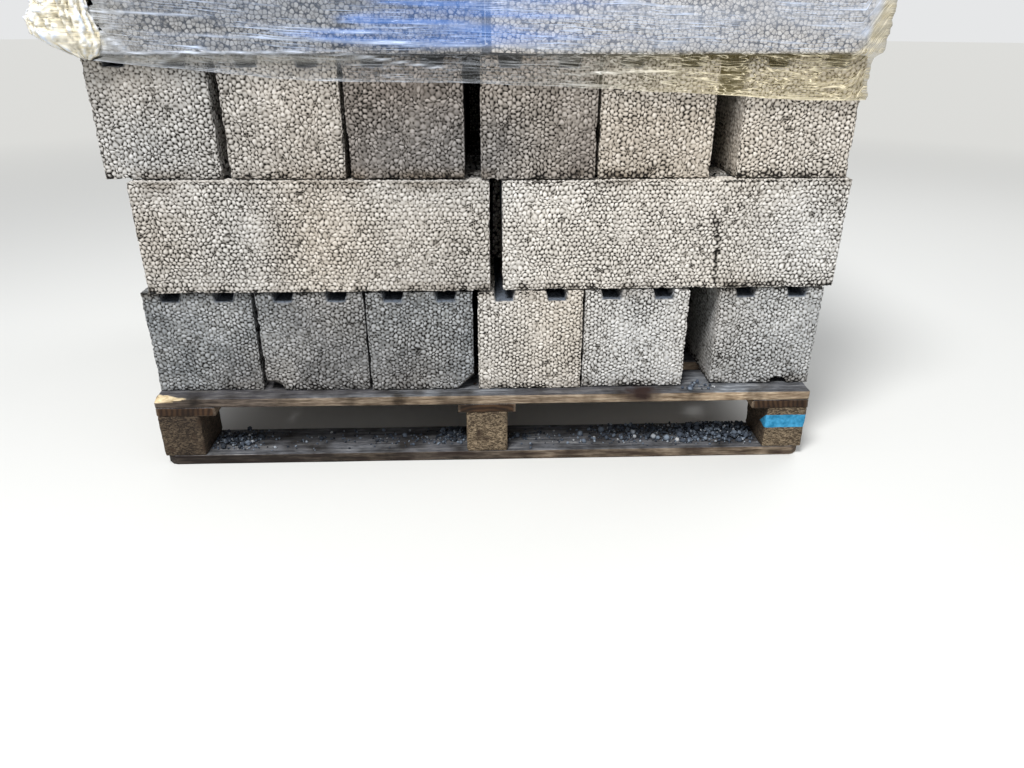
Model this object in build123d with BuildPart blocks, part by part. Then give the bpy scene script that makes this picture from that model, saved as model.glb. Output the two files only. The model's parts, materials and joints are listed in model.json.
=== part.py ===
"""A wooden pallet loaded with lightweight concrete blocks, held at the top by stretch film.

The blocks are cast from expanded clay pellets and cement, and have two grooves along their top.
They lie in four courses. The first and third show their ends at the front, the second and
fourth show their long side. Lengths are in millimetres, +Z is up, the front faces -Y, and the
origin is on the floor under the middle of the pallet.
"""

import os
from functools import partial
from math import cos, radians, sin

from build123d import *

# Concrete block
BLOCK_LENGTH = 590.0
BLOCK_WIDTH = 190.0
BLOCK_HEIGHT = 190.0
BLOCK_EDGE_CHAMFER = 3.0  # worn arrises along the block
BLOCK_END_CHAMFER = 2.5  # worn arrises round the two ends
GROOVE_WIDTH = 32.0
GROOVE_FLOOR_WIDTH = 28.0
GROOVE_DEPTH = 18.0
GROOVE_OFFSET = 46.5  # groove centre from the block's middle
BROKEN_LEFT_WIDTH = 34.0  # the left foot corner knocked off one end block
BROKEN_LEFT_TOP_WIDTH = 22.0
BROKEN_LEFT_HEIGHT = 22.0
BROKEN_LEFT_DEPTH = 30.0
BROKEN_RIGHT_WIDTH = 32.0  # the right foot corner worn off its neighbour
BROKEN_RIGHT_TOP_WIDTH = 5.0
BROKEN_RIGHT_HEIGHT = 21.0
BROKEN_RIGHT_DEPTH = 18.0
FOOT_NICK_WIDTH = 32.0  # the shallow bite out of another end block's foot
FOOT_NICK_HEIGHT = 13.0
FOOT_NICK_DEPTH = 16.0
FOOT_NICK_OFFSET = 37.0

# Pallet
PALLET_LENGTH = 1200.0
PALLET_DEPTH = 800.0
DECK_BOARD_WIDTH = 100.0
DECK_BOARD_COUNT = 6
DECK_BOARD_THICKNESS = 18.0
CROSS_BOARD_WIDTH = 106.0
CROSS_BOARD_THICKNESS = 17.0
SPACER_WIDTH = 76.0
SPACER_DEPTH = 102.0
SPACER_HEIGHT = 82.0
SPACER_CORNER_RADIUS = 4.0
BOTTOM_BOARD_WIDTH = 100.0
BOTTOM_BOARD_THICKNESS = 19.0
BOTTOM_BOARD_CORNER_CUT = 14.0  # sawn corners that let a truck's wheels run on
BOARD_EDGE_CHAMFER = 1.5
CROSS_BOARD_END_CHAMFER = 6.0  # bevel under each end of a cross board
SPLINTER_LENGTH = 62.0  # the wedge split off the front deck board's top edge at its left end
SPLINTER_WIDTH = 24.0
SPLINTER_DEPTH = 7.0

# How the load stands on the pallet
LOAD_SETBACK = 33.0  # deck edge to the nominal front of the load
ROW_GAP = 9.0  # between the four rows of a stretcher course
BACK_ROW_GAP = 3.0  # between the end blocks and the row laid behind them

# Each course from the left: its first block's offset from the pallet's left end, the gaps
# between neighbours, and how far each block's front stands behind the nominal front
COURSE_1_START = 1.0
COURSE_1_GAPS = [6.0, 1.5, 6.0, 1.0, 52.0]
COURSE_1_RECESS = [2.0, -3.0, -8.0, -7.5, -4.0, 2.5]
COURSE_2_START = 20.0
COURSE_2_GAP = 18.0
COURSE_2_RECESS = [-7.0, -2.0]
COURSE_2_TURN = [0.0, 0.25]  # degrees, seen from above
COURSE_3_START = -18.0
COURSE_3_GAPS = [13.0, 5.0, 24.0, 3.0, 43.0]
COURSE_3_RECESS = [12.0, 7.0, 4.0, -2.5, 5.0, 6.0]
COURSE_4_START = 10.5
COURSE_4_GAP = 10.5
COURSE_4_RECESS = [-6.0, -5.0]
HIDDEN_ROW_STARTS = [16.0, 9.0, 13.0]  # the rows behind, each a little out of line
HIDDEN_ROW_GAPS = [8.0, 14.0, 5.0]

# Stretch film round the top course
FILM_WALL = 1.2
FILM_CLEARANCE = 0.4
FILM_CORNER_RADIUS = 12.0
FILM_SLACK_LEFT = 1.5  # how far the film stands off the widest block it passes
FILM_SLACK_RIGHT = 16.0
FILM_LIP = 120.0  # how far it folds in over the top
FILM_DROP_LEFT = 12.0  # lower edge below the top course's foot, at the left end
FILM_DROP_RIGHT = 67.0
TUFT_REACH = 56.0  # the gathered film that stands out at the left front corner
TUFT_DEPTH = 44.0
TUFT_FOLD_CHAMFER = 14.0
TUFT_BASE_HEIGHT = 3.0  # above the foot of the top course
TUFT_FULL_HEIGHT = 26.0
TUFT_TOP_HEIGHT = 176.0

# Heights and edges that follow from the sizes above
SPACER_BASE = BOTTOM_BOARD_THICKNESS
CROSS_BOARD_BASE = SPACER_BASE + SPACER_HEIGHT
DECK_BASE = CROSS_BOARD_BASE + CROSS_BOARD_THICKNESS
DECK_TOP = DECK_BASE + DECK_BOARD_THICKNESS
PALLET_LEFT = -PALLET_LENGTH / 2
PALLET_FRONT = -PALLET_DEPTH / 2
LOAD_FRONT = PALLET_FRONT + LOAD_SETBACK

os.makedirs("parts", exist_ok=True)


def course_base(course):
    """Height of a course's underside; courses count from 1 at the deck."""
    return DECK_TOP + (course - 1) * BLOCK_HEIGHT


def save(piece, name):
    """Label one finished piece and write its STEP file."""
    piece.part.label = name
    export_step(piece.part, f"parts/{name}.step")


def block_plane(centre_x, centre_y, base_z, heading):
    """Cross-section plane at a block's middle, looking along the block; heading in degrees."""
    along = Vector(cos(radians(heading)), sin(radians(heading)), 0)
    across = Vector(0, 0, 1).cross(along)
    return Plane(origin=(centre_x, centre_y, base_z), x_dir=across, z_dir=along)


def build_block(name, plane, make_bite=None):
    """One block: its grooved section, extruded along its length, with worn ends.

    A damaged block has the bite that make_bite builds on the block's plane taken out of it.
    """
    with BuildPart() as block:
        with BuildSketch(plane):
            with Locations((0, BLOCK_HEIGHT / 2)):
                body = Rectangle(BLOCK_WIDTH, BLOCK_HEIGHT)
            chamfer(body.vertices(), BLOCK_EDGE_CHAMFER)
            for side in (-1, 1):
                centre = side * GROOVE_OFFSET
                with BuildLine():
                    Polyline(
                        (centre - GROOVE_WIDTH / 2, BLOCK_HEIGHT),
                        (centre - GROOVE_FLOOR_WIDTH / 2, BLOCK_HEIGHT - GROOVE_DEPTH),
                        (centre + GROOVE_FLOOR_WIDTH / 2, BLOCK_HEIGHT - GROOVE_DEPTH),
                        (centre + GROOVE_WIDTH / 2, BLOCK_HEIGHT),
                        close=True,
                    )
                make_face(mode=Mode.SUBTRACT)
        extrude(amount=BLOCK_LENGTH / 2, both=True)
        ends = block.faces().sort_by(Axis(plane.origin, plane.z_dir))
        chamfer(ends[0].edges() + ends[-1].edges(), BLOCK_END_CHAMFER)
        if make_bite is not None:
            add(make_bite(plane), mode=Mode.SUBTRACT)
    save(block, name)


def make_corner_bite(plane, side, width, top_width, height, depth):
    """The lower corner knocked off a block's front end: a wedge that narrows going in.

    side is -1 for the left corner and 1 for the right one.
    """
    front_end = plane.offset(BLOCK_LENGTH / 2)
    corner = side * BLOCK_WIDTH / 2
    with BuildPart() as bite:
        for inward, share in ((0.0, 1.0), (depth, 0.25)):
            with BuildSketch(front_end.offset(-inward)):
                with BuildLine():
                    Polyline(
                        (corner, 0),
                        (corner - side * width * share, 0),
                        (corner - side * top_width * share, height * share),
                        (corner, height * share),
                        close=True,
                    )
                make_face()
        loft()
    return bite.part


def make_foot_bite(plane):
    """A shallow round-topped nick in the foot of a block's front end."""
    with BuildPart() as bite:
        with BuildSketch(plane.offset(BLOCK_LENGTH / 2)):
            with Locations((FOOT_NICK_OFFSET, 0)):
                Ellipse(FOOT_NICK_WIDTH / 2, FOOT_NICK_HEIGHT)
        extrude(amount=-FOOT_NICK_DEPTH)
    return bite.part


def build_end_row(course, start, gaps, recesses, bites):
    """Six blocks side by side with their ends to the front; return how far back they reach."""
    left = PALLET_LEFT + start
    for index, recess in enumerate(recesses):
        front = LOAD_FRONT + recess
        plane = block_plane(left + BLOCK_WIDTH / 2, front + BLOCK_LENGTH / 2, course_base(course), -90)
        build_block(f"course_{course}_end_block_{index + 1}", plane, bites.get(index + 1))
        if index < len(gaps):
            left += BLOCK_WIDTH + gaps[index]
    return LOAD_FRONT + max(recesses) + BLOCK_LENGTH


def build_side_row(name, course, start, gap, fronts, turns=(0.0, 0.0)):
    """Two blocks end to end with their long sides to the front."""
    left = PALLET_LEFT + start
    for index, side in enumerate(("left", "right")):
        centre_x = left + index * (BLOCK_LENGTH + gap) + BLOCK_LENGTH / 2
        centre_y = fronts[index] + BLOCK_WIDTH / 2
        plane = block_plane(centre_x, centre_y, course_base(course), turns[index])
        build_block(f"course_{course}_{name}_{side}", plane)


def build_end_course(course, start, gaps, recesses, bites, hidden):
    """A course of six end blocks with one row of side blocks laid behind them."""
    reach = build_end_row(course, start, gaps, recesses, bites)
    front = reach + BACK_ROW_GAP
    build_side_row("back_row", course, HIDDEN_ROW_STARTS[hidden], HIDDEN_ROW_GAPS[hidden], (front, front))
    return front + BLOCK_WIDTH


def build_side_course(course, start, gap, recesses, turns=(0.0, 0.0)):
    """A course of four rows of side blocks, two to a row."""
    build_side_row("front_row", course, start, gap, [LOAD_FRONT + recess for recess in recesses], turns)
    for index, name in enumerate(("second_row", "third_row", "back_row")):
        front = LOAD_FRONT + max(recesses) + (index + 1) * (BLOCK_WIDTH + ROW_GAP)
        build_side_row(name, course, HIDDEN_ROW_STARTS[index], HIDDEN_ROW_GAPS[index], (front, front))
    return front + BLOCK_WIDTH


def make_splinter():
    """The wedge split off the front deck board at its left end, along the top front edge."""
    with BuildPart() as wedge:
        for along, share in ((0.0, 1.0), (SPLINTER_LENGTH, 0.1)):
            with BuildSketch(Plane.YZ.offset(PALLET_LEFT + along)):
                with BuildLine():
                    Polyline(
                        (PALLET_FRONT, DECK_TOP),
                        (PALLET_FRONT + SPLINTER_WIDTH * share, DECK_TOP),
                        (PALLET_FRONT, DECK_TOP - SPLINTER_DEPTH * share),
                        close=True,
                    )
                make_face()
        loft()
    return wedge.part


def build_deck_boards():
    """Deck boards along the pallet, evenly spaced from its front edge to its back edge."""
    pitch = (PALLET_DEPTH - DECK_BOARD_WIDTH) / (DECK_BOARD_COUNT - 1)
    for index in range(DECK_BOARD_COUNT):
        with BuildPart() as board:
            with BuildSketch(Plane.XY.offset(DECK_BASE)):
                with Locations((0, PALLET_FRONT + DECK_BOARD_WIDTH / 2 + index * pitch)):
                    Rectangle(PALLET_LENGTH, DECK_BOARD_WIDTH)
            extrude(amount=DECK_BOARD_THICKNESS)
            chamfer(board.edges().filter_by(Axis.X), BOARD_EDGE_CHAMFER)
            if index == 0:
                add(make_splinter(), mode=Mode.SUBTRACT)
        save(board, f"deck_board_{index + 1}")


def build_cross_boards(columns):
    """Cross boards under the deck, one over each column of spacers, flush with the pallet's ends."""
    inset = (CROSS_BOARD_WIDTH - SPACER_WIDTH) / 2
    shift = {"left": inset, "middle": 0.0, "right": -inset}
    for name, centre_x in columns.items():
        with BuildPart() as board:
            with BuildSketch(Plane.XY.offset(CROSS_BOARD_BASE)):
                with Locations((centre_x + shift[name], 0)):
                    Rectangle(CROSS_BOARD_WIDTH, PALLET_DEPTH)
            extrude(amount=CROSS_BOARD_THICKNESS)
            chamfer(board.edges().filter_by(Axis.Y), BOARD_EDGE_CHAMFER)
            chamfer(board.edges().filter_by(Axis.X).group_by(Axis.Z)[0], CROSS_BOARD_END_CHAMFER)
        save(board, f"cross_board_{name}")


def build_spacers(columns, rows):
    """Pressed chipboard spacers between the cross boards and the bottom boards."""
    for row, centre_y in rows.items():
        for column, centre_x in columns.items():
            with BuildPart() as spacer:
                with BuildSketch(Plane.XY.offset(SPACER_BASE)):
                    with Locations((centre_x, centre_y)):
                        RectangleRounded(SPACER_WIDTH, SPACER_DEPTH, SPACER_CORNER_RADIUS)
                extrude(amount=SPACER_HEIGHT)
            save(spacer, f"spacer_{row}_{column}")


def build_bottom_boards(rows):
    """Bottom boards along the pallet, one under each row of spacers, with sawn-off corners."""
    inset = (SPACER_DEPTH - BOTTOM_BOARD_WIDTH) / 2
    shift = {"front": -inset, "middle": 0.0, "back": inset}
    for name, centre_y in rows.items():
        with BuildPart() as board:
            with BuildSketch():
                with Locations((0, centre_y + shift[name])):
                    outline = Rectangle(PALLET_LENGTH, BOTTOM_BOARD_WIDTH)
                chamfer(outline.vertices(), BOTTOM_BOARD_CORNER_CUT)
            extrude(amount=BOTTOM_BOARD_THICKNESS)
            chamfer(board.edges().filter_by(Axis.X), BOARD_EDGE_CHAMFER)
        save(board, f"bottom_board_{name}")


def build_film(left, right, front, back):
    """Film sleeve round the top course, folded in over its top, with a gathered front corner.

    The four arguments are the faces of the widest blocks that the film passes.
    """
    foot = course_base(4)
    top = course_base(5)
    west = left - FILM_SLACK_LEFT
    east = right + FILM_SLACK_RIGHT
    length = east - west
    depth = back - front + 2 * FILM_CLEARANCE
    centre = ((west + east) / 2, (front + back) / 2)
    lowest = foot - FILM_DROP_RIGHT
    lip_base = top + FILM_CLEARANCE
    with BuildPart() as film:
        with BuildSketch(Plane.XY.offset(lowest)):
            with Locations(centre):
                RectangleRounded(length + 2 * FILM_WALL, depth + 2 * FILM_WALL, FILM_CORNER_RADIUS)
                RectangleRounded(length, depth, FILM_CORNER_RADIUS - FILM_WALL, mode=Mode.SUBTRACT)
        extrude(amount=lip_base + FILM_WALL - lowest)
        with BuildSketch(Plane.XY.offset(lip_base)):
            with Locations(centre):
                RectangleRounded(length, depth, FILM_CORNER_RADIUS - FILM_WALL)
                Rectangle(length - 2 * FILM_LIP, depth - 2 * FILM_LIP, mode=Mode.SUBTRACT)
        extrude(amount=FILM_WALL)
        tuft_front = front - FILM_CLEARANCE - FILM_WALL
        for end_height, end_share in ((TUFT_BASE_HEIGHT, 0.2), (TUFT_TOP_HEIGHT, 0.25)):
            for height, share in ((TUFT_FULL_HEIGHT, 1.0), (end_height, end_share)):
                with BuildSketch(Plane.XY.offset(foot + height)):
                    with Locations((west - FILM_WALL, tuft_front + TUFT_DEPTH / 2)):
                        fold = Rectangle(2 * TUFT_REACH * share, TUFT_DEPTH * share)
                    chamfer(fold.vertices(), TUFT_FOLD_CHAMFER * share)
            loft(ruled=True)
        with BuildSketch(Plane.XZ.offset(-back - depth)):
            with BuildLine():
                Polyline(
                    (west - FILM_CORNER_RADIUS, lowest),
                    (east + FILM_CORNER_RADIUS, lowest),
                    (west - FILM_CORNER_RADIUS, foot - FILM_DROP_LEFT),
                    close=True,
                )
            make_face()
        extrude(amount=3 * depth, mode=Mode.SUBTRACT)
        with BuildSketch(Plane.XY.offset(foot)):
            with Locations(centre):
                RectangleRounded(length, depth, FILM_CORNER_RADIUS - FILM_WALL)
        extrude(amount=lip_base - foot, mode=Mode.SUBTRACT)
    save(film, "stretch_film")


spacer_columns = {
    "left": PALLET_LEFT + SPACER_WIDTH / 2,
    "middle": 0.0,
    "right": -PALLET_LEFT - SPACER_WIDTH / 2,
}
spacer_rows = {
    "front": PALLET_FRONT + SPACER_DEPTH / 2,
    "middle": 0.0,
    "back": -PALLET_FRONT - SPACER_DEPTH / 2,
}
build_bottom_boards(spacer_rows)
build_spacers(spacer_columns, spacer_rows)
build_cross_boards(spacer_columns)
build_deck_boards()

course_1_bites = {
    2: partial(
        make_corner_bite,
        side=-1,
        width=BROKEN_LEFT_WIDTH,
        top_width=BROKEN_LEFT_TOP_WIDTH,
        height=BROKEN_LEFT_HEIGHT,
        depth=BROKEN_LEFT_DEPTH,
    ),
    3: partial(
        make_corner_bite,
        side=1,
        width=BROKEN_RIGHT_WIDTH,
        top_width=BROKEN_RIGHT_TOP_WIDTH,
        height=BROKEN_RIGHT_HEIGHT,
        depth=BROKEN_RIGHT_DEPTH,
    ),
    6: make_foot_bite,
}
build_end_course(1, COURSE_1_START, COURSE_1_GAPS, COURSE_1_RECESS, course_1_bites, 0)
build_side_course(2, COURSE_2_START, COURSE_2_GAP, COURSE_2_RECESS, COURSE_2_TURN)
course_3_back = build_end_course(3, COURSE_3_START, COURSE_3_GAPS, COURSE_3_RECESS, {}, 1)
course_4_back = build_side_course(4, COURSE_4_START, COURSE_4_GAP, COURSE_4_RECESS)

course_3_left = PALLET_LEFT + COURSE_3_START
course_3_right = course_3_left + 6 * BLOCK_WIDTH + sum(COURSE_3_GAPS)
course_4_left = PALLET_LEFT + COURSE_4_START
course_4_right = course_4_left + 2 * BLOCK_LENGTH + COURSE_4_GAP
build_film(
    left=min(course_3_left, course_4_left),
    right=max(course_3_right, course_4_right),
    front=LOAD_FRONT + min(COURSE_3_RECESS + COURSE_4_RECESS),
    back=max(course_3_back, course_4_back),
)
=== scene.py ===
"""The looks of a pallet loaded with lightweight concrete blocks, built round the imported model.

Every block gets a skin of clay pellets, every board and spacer its sawn or pressed surface, and the
top course its stretch film. Lengths are in metres, +Z is up and the front faces -Y.
"""

import json
from math import pi, radians, sqrt

import bpy
import numpy as np
from bpy.props import FloatProperty, FloatVectorProperty, IntProperty, PointerProperty
from mathutils import Euler, Matrix, Vector


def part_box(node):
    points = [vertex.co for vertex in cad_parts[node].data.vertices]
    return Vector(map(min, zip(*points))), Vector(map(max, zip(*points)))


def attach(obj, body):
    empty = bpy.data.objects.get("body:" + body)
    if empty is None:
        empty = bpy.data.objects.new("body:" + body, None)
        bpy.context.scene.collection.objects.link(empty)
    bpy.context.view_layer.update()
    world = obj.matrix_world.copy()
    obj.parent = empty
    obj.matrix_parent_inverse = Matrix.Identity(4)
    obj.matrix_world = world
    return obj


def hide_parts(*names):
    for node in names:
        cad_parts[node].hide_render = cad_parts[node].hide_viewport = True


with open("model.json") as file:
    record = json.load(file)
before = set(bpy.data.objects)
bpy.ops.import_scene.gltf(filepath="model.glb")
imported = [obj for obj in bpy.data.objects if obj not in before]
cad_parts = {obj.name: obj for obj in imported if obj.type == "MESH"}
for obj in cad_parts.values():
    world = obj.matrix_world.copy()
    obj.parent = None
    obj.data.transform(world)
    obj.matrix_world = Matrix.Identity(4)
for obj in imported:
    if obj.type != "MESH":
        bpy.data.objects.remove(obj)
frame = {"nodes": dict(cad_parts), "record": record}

bl_info = {
    "name": "Pallet of concrete blocks",
    "version": (1, 0, 0),
    "blender": (4, 5, 0),
    "location": "3D View > Sidebar > Pallet",
    "description": "Dresses a loaded pallet with pellet concrete, timber, chipboard and stretch film",
    "category": "Object",
}

MM = 0.001
ROOT3 = sqrt(3)

# Random numbers, drawn once so that every run gives the same object
DRAW_SIZE = 256
DRAWS = np.random.default_rng(3099).random((6, DRAW_SIZE, DRAW_SIZE))
NOISE = np.random.default_rng(71).random(8192)

# Block section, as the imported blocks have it
BLOCK_LOW, BLOCK_HIGH = (np.array(corner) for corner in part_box("course_1_end_block_1"))
BLOCK_WIDTH = BLOCK_HIGH[0] - BLOCK_LOW[0]
BLOCK_LENGTH = BLOCK_HIGH[1] - BLOCK_LOW[1]
BLOCK_HEIGHT = BLOCK_HIGH[2] - BLOCK_LOW[2]
GROOVE_WIDTH = 32 * MM
GROOVE_FLOOR_WIDTH = 28 * MM
GROOVE_DEPTH = 18 * MM
GROOVE_OFFSET = 46.5 * MM
BLOCK_TURNS = {"course_2_front_row_right": radians(0.25)}
MOUTH_SPREAD = 4.2 * MM  # how far the groove walls have crumbled back at the front end
MOUTH_REACH = 26 * MM  # how far in from the front end they have crumbled
CHIP_DEPTH = 3.4 * MM  # how deep the chips in the arrises are
BREAK_ROUGHNESS = 5 * MM  # how uneven the concrete is where it broke
MARGIN_SHARE = 0.55  # how far the pellet lattice keeps from a patch's border, in lattice steps
PLAIN_EDGE_STEP = 60 * MM  # spacing of border points between two patches that stay plain

# The dark streak on the right block of the second course
STREAK_TOP = 456 * MM
STREAK_FOOT = 326 * MM
STREAK_LEFT = 391 * MM
STREAK_RIGHT = 412 * MM
STREAK_SHADE = 0.8

# The dark knot in the front deck board's edge: its place along the board, and its half sizes
KNOT_PLACE = 285 * MM
KNOT_SIZE = (27 * MM, 30 * MM, 16 * MM)
TEAR_DEPTH = 2.2 * MM  # how deep torn fibres leave the boards

# Grain of the materials: the size of one cell of their noise, and how far timber's is drawn out along it
CEMENT_GRIT = 1.3 * MM
DRAWN_PELLET = 6.4 * MM
GROWTH_BAND = 4.2 * MM
WOOD_FIBRE = 0.9 * MM
GRAIN_STRETCH = 16
WOOD_FLAKE = 3.0 * MM
FLAKE_GRIT = 1.6 * MM
FILM_SPECK = 2.6 * MM

# How far the middle line of the blue band sinks towards its point
BAND_SINK = 11 * MM

# Patches of a block: twelve along its length, counted round the section from its underside, then its ends
RIGHT_SIDE = 1
TOP_STRIPS = (2, 6, 10)
GROOVE_FLOORS = (4, 8)
LEFT_SIDE = 11
BACK_END = 12
FRONT_END = 13

# How damp each block is and how warm or pale its pellets are, both from 0 to 1
BLOCK_LOOKS = {
    "course_1_end_block_1": (0.86, 0.1),
    "course_1_end_block_2": (0.94, 0.2),
    "course_1_end_block_3": (0.92, 0.1),
    "course_1_end_block_4": (0.12, 0.62),
    "course_1_end_block_5": (0.18, 0.1),
    "course_1_end_block_6": (0.42, 0.05),
    "course_2_front_row_left": (0.3, 0.6),
    "course_2_front_row_right": (0.05, 0.45),
    "course_4_front_row_left": (0.72, 0.35),
    "course_3_end_block_1": (0.42, 0.45),
    "course_3_end_block_2": (0.46, 0.7),
    "course_3_end_block_3": (1.0, 0.8),
    "course_3_end_block_4": (0.86, 0.85),
    "course_3_end_block_5": (0.28, 0.85),
    "course_3_end_block_6": (0.18, 0.65),
}
PLAIN_LOOK = (0.12, 0.5)

# The shrinking rings over the end of a board or spacer, as shares of its section
END_RINGS = (0.25, 0.5, 0.72, 0.9)

# Floor: two rings of points, in metres from the middle
FLOOR_SIDES = 64
FLOOR_RADII = (3.0, 40.0)
LOAD_MIDDLE = 0.45  # height that the lamps are turned towards

# Nails, and the heaps of crumbs: how many crumbs, the heap's middle and its spread as (x, y), what it lies on
# and how high it is
NAIL_SIDES = 8
CRUMB_HEAPS = (
    (1000, (0.455, -0.345), (0.10, 0.045), "bottom_board_front", 20 * MM),
    (420, (0.33, -0.340), (0.15, 0.045), "bottom_board_front", 5 * MM),
    (200, (-0.065, -0.340), (0.035, 0.036), "bottom_board_front", 9 * MM),
    (340, (-0.500, -0.345), (0.08, 0.042), "bottom_board_front", 9 * MM),
    (420, (0.0, -0.350), (0.50, 0.044), "bottom_board_front", 0.0),
    (34, (0.397, -0.372), (0.035, 0.022), "deck_board_1", 0.0),
)

# Stretch film: how far it is folded in over the top, and where its rings lie there, in millimetres
FILM_LIP_PLACES = (3, 9, 18, 30, 44, 60, 76, 92, 106, 116, 120)
FILM_CORNER_RADIUS = 4 * MM
FILM_CORNER_POINTS = 4
FILM_SIDE_POINTS = (124, 44, 60, 40)  # along its front, right, back and left
FILM_FLARE_PLACE = 582 * MM  # where the film lies double at the front's right end
FILM_BAND_HEIGHT = 699 * MM  # the folded band at the front's left: its middle above the floor
FILM_BAND_WIDTH = 7 * MM  # and half its width
TAUT_PLACES = (-6 * MM, 184 * MM)  # between these the film lies on the third course's foremost block
TAUT_ENDS = (-355 * MM, -361 * MM)  # and where it lies at the left and right front corners

# The film's lower edge as (x, z), and tight pull lines in its front as (x, z, x, z, strength), in millimetres
FILM_EDGE = ((-618, 699), (-510, 688), (-344, 672), (120, 660), (450, 643), (610, 639))
FILM_PULLS = (
    (-600, 707, -225, 709, 0.9),
    (-225, 708, -34, 683, 1.0),
    (-598, 756, -503, 688, 0.6),
    (-503, 688, -416, 723, 0.5),
    (-500, 734, -3, 718, 0.9),
    (-395, 747, -87, 732, 0.7),
    (-588, 765, -394, 757, 0.5),
    (102, 677, 332, 685, 0.9),
    (507, 669, 600, 654, 0.8),
    (547, 669, 593, 664, 0.6),
    (582, 710, 606, 785, 0.5),
)

# The gathered corner: its left, right, front and back outlines as (share of its height, place in millimetres)
SACK_HEIGHT = 181 * MM
SACK_POINTS = (100, 96)  # up and round
SACK_LEFT = ((0.0, -612), (0.03, -646), (0.08, -670), (0.2, -671), (0.4, -656), (0.7, -640), (1.0, -612))
SACK_RIGHT = ((0.0, -592), (0.06, -574), (0.15, -566), (0.35, -580), (1.0, -590))
SACK_FRONT = ((0.0, -378), (0.1, -388), (0.4, -386), (1.0, -379))
SACK_BACK = ((0.0, -366), (0.1, -346), (0.4, -338), (1.0, -364))


# Noise and colour

def value_noise(points, cell, seed):
    """Smooth noise from 0 to 1: random values on a cubic grid of that cell, blended by a smoothstep."""
    scaled = points / cell
    whole = np.floor(scaled).astype(np.int64)
    part = scaled - whole
    part = part * part * (3 - 2 * part)
    total = np.zeros(len(points))
    for corner in np.ndindex(2, 2, 2):
        at = whole + corner
        weight = np.prod(np.where(corner, part, 1 - part), axis=1)
        mixed = at[:, 0] * 73856093 ^ at[:, 1] * 19349663 ^ at[:, 2] * 83492791 ^ seed * 2654435
        total += weight * NOISE[mixed % NOISE.size]
    return total


def smoothstep(low, high, value):
    """0 below low, 1 above high and a smooth cubic between them."""
    part = np.clip((value - low) / (high - low), 0, 1)
    return part * part * (3 - 2 * part)


def linear(code):
    """A colour written as sRGB hex, turned to the linear RGBA that the nodes take."""
    channels = np.array([int(code[i:i + 2], 16) for i in (1, 3, 5)]) / 255
    curve = np.where(channels <= 0.04045, channels / 12.92, ((channels + 0.055) / 1.055) ** 2.4)
    return (*curve.tolist(), 1.0)


# Meshes

def make_piece(name, points, triangles, polygons=(), fields=None, uv=None):
    """A new piece from arrays: smooth triangles, then flat polygons given as lists of point numbers.

    fields holds one value a point for each named attribute, and uv one pair a point.
    """
    mesh = bpy.data.meshes.new(name)
    mesh.vertices.add(len(points))
    mesh.vertices.foreach_set("co", np.ascontiguousarray(points, dtype=np.float32).ravel())
    loops = np.concatenate([np.asarray(triangles).ravel(), *polygons]).astype(np.int32)
    sizes = np.concatenate([np.full(len(triangles), 3), [len(p) for p in polygons]]).astype(np.int32)
    starts = np.concatenate([[0], np.cumsum(sizes)[:-1]]).astype(np.int32)
    mesh.loops.add(len(loops))
    mesh.loops.foreach_set("vertex_index", loops)
    mesh.polygons.add(len(sizes))
    mesh.polygons.foreach_set("loop_start", starts)
    mesh.polygons.foreach_set("use_smooth", np.arange(len(sizes)) < len(triangles))
    for title, values in (fields or {}).items():
        layer = mesh.attributes.new(title, "FLOAT", "POINT")
        layer.data.foreach_set("value", np.asarray(values, dtype=np.float32))
    if uv is not None:
        layer = mesh.uv_layers.new(name="UVMap")
        layer.data.foreach_set("uv", np.asarray(uv, dtype=np.float32)[loops].ravel())
    mesh.update(calc_edges=True)
    mesh.validate()
    piece = bpy.data.objects.new(name, mesh)
    bpy.context.scene.collection.objects.link(piece)
    return piece


def finish_piece(piece, material, slot, *nodes):
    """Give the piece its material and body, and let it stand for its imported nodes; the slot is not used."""
    piece.data.materials.append(material)
    if nodes:
        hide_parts(*nodes)
    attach(piece, "root")


# Block skins

def block_section():
    """The block's grooved section, counter-clockwise from its lower left corner: across and up."""
    half = BLOCK_WIDTH / 2
    corners = [(-half, 0), (half, 0), (half, BLOCK_HEIGHT)]
    for centre in (GROOVE_OFFSET, -GROOVE_OFFSET):
        corners += [
            (centre + GROOVE_WIDTH / 2, BLOCK_HEIGHT),
            (centre + GROOVE_FLOOR_WIDTH / 2, BLOCK_HEIGHT - GROOVE_DEPTH),
            (centre - GROOVE_FLOOR_WIDTH / 2, BLOCK_HEIGHT - GROOVE_DEPTH),
            (centre - GROOVE_WIDTH / 2, BLOCK_HEIGHT),
        ]
    return np.array(corners + [(-half, BLOCK_HEIGHT)])


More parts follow.
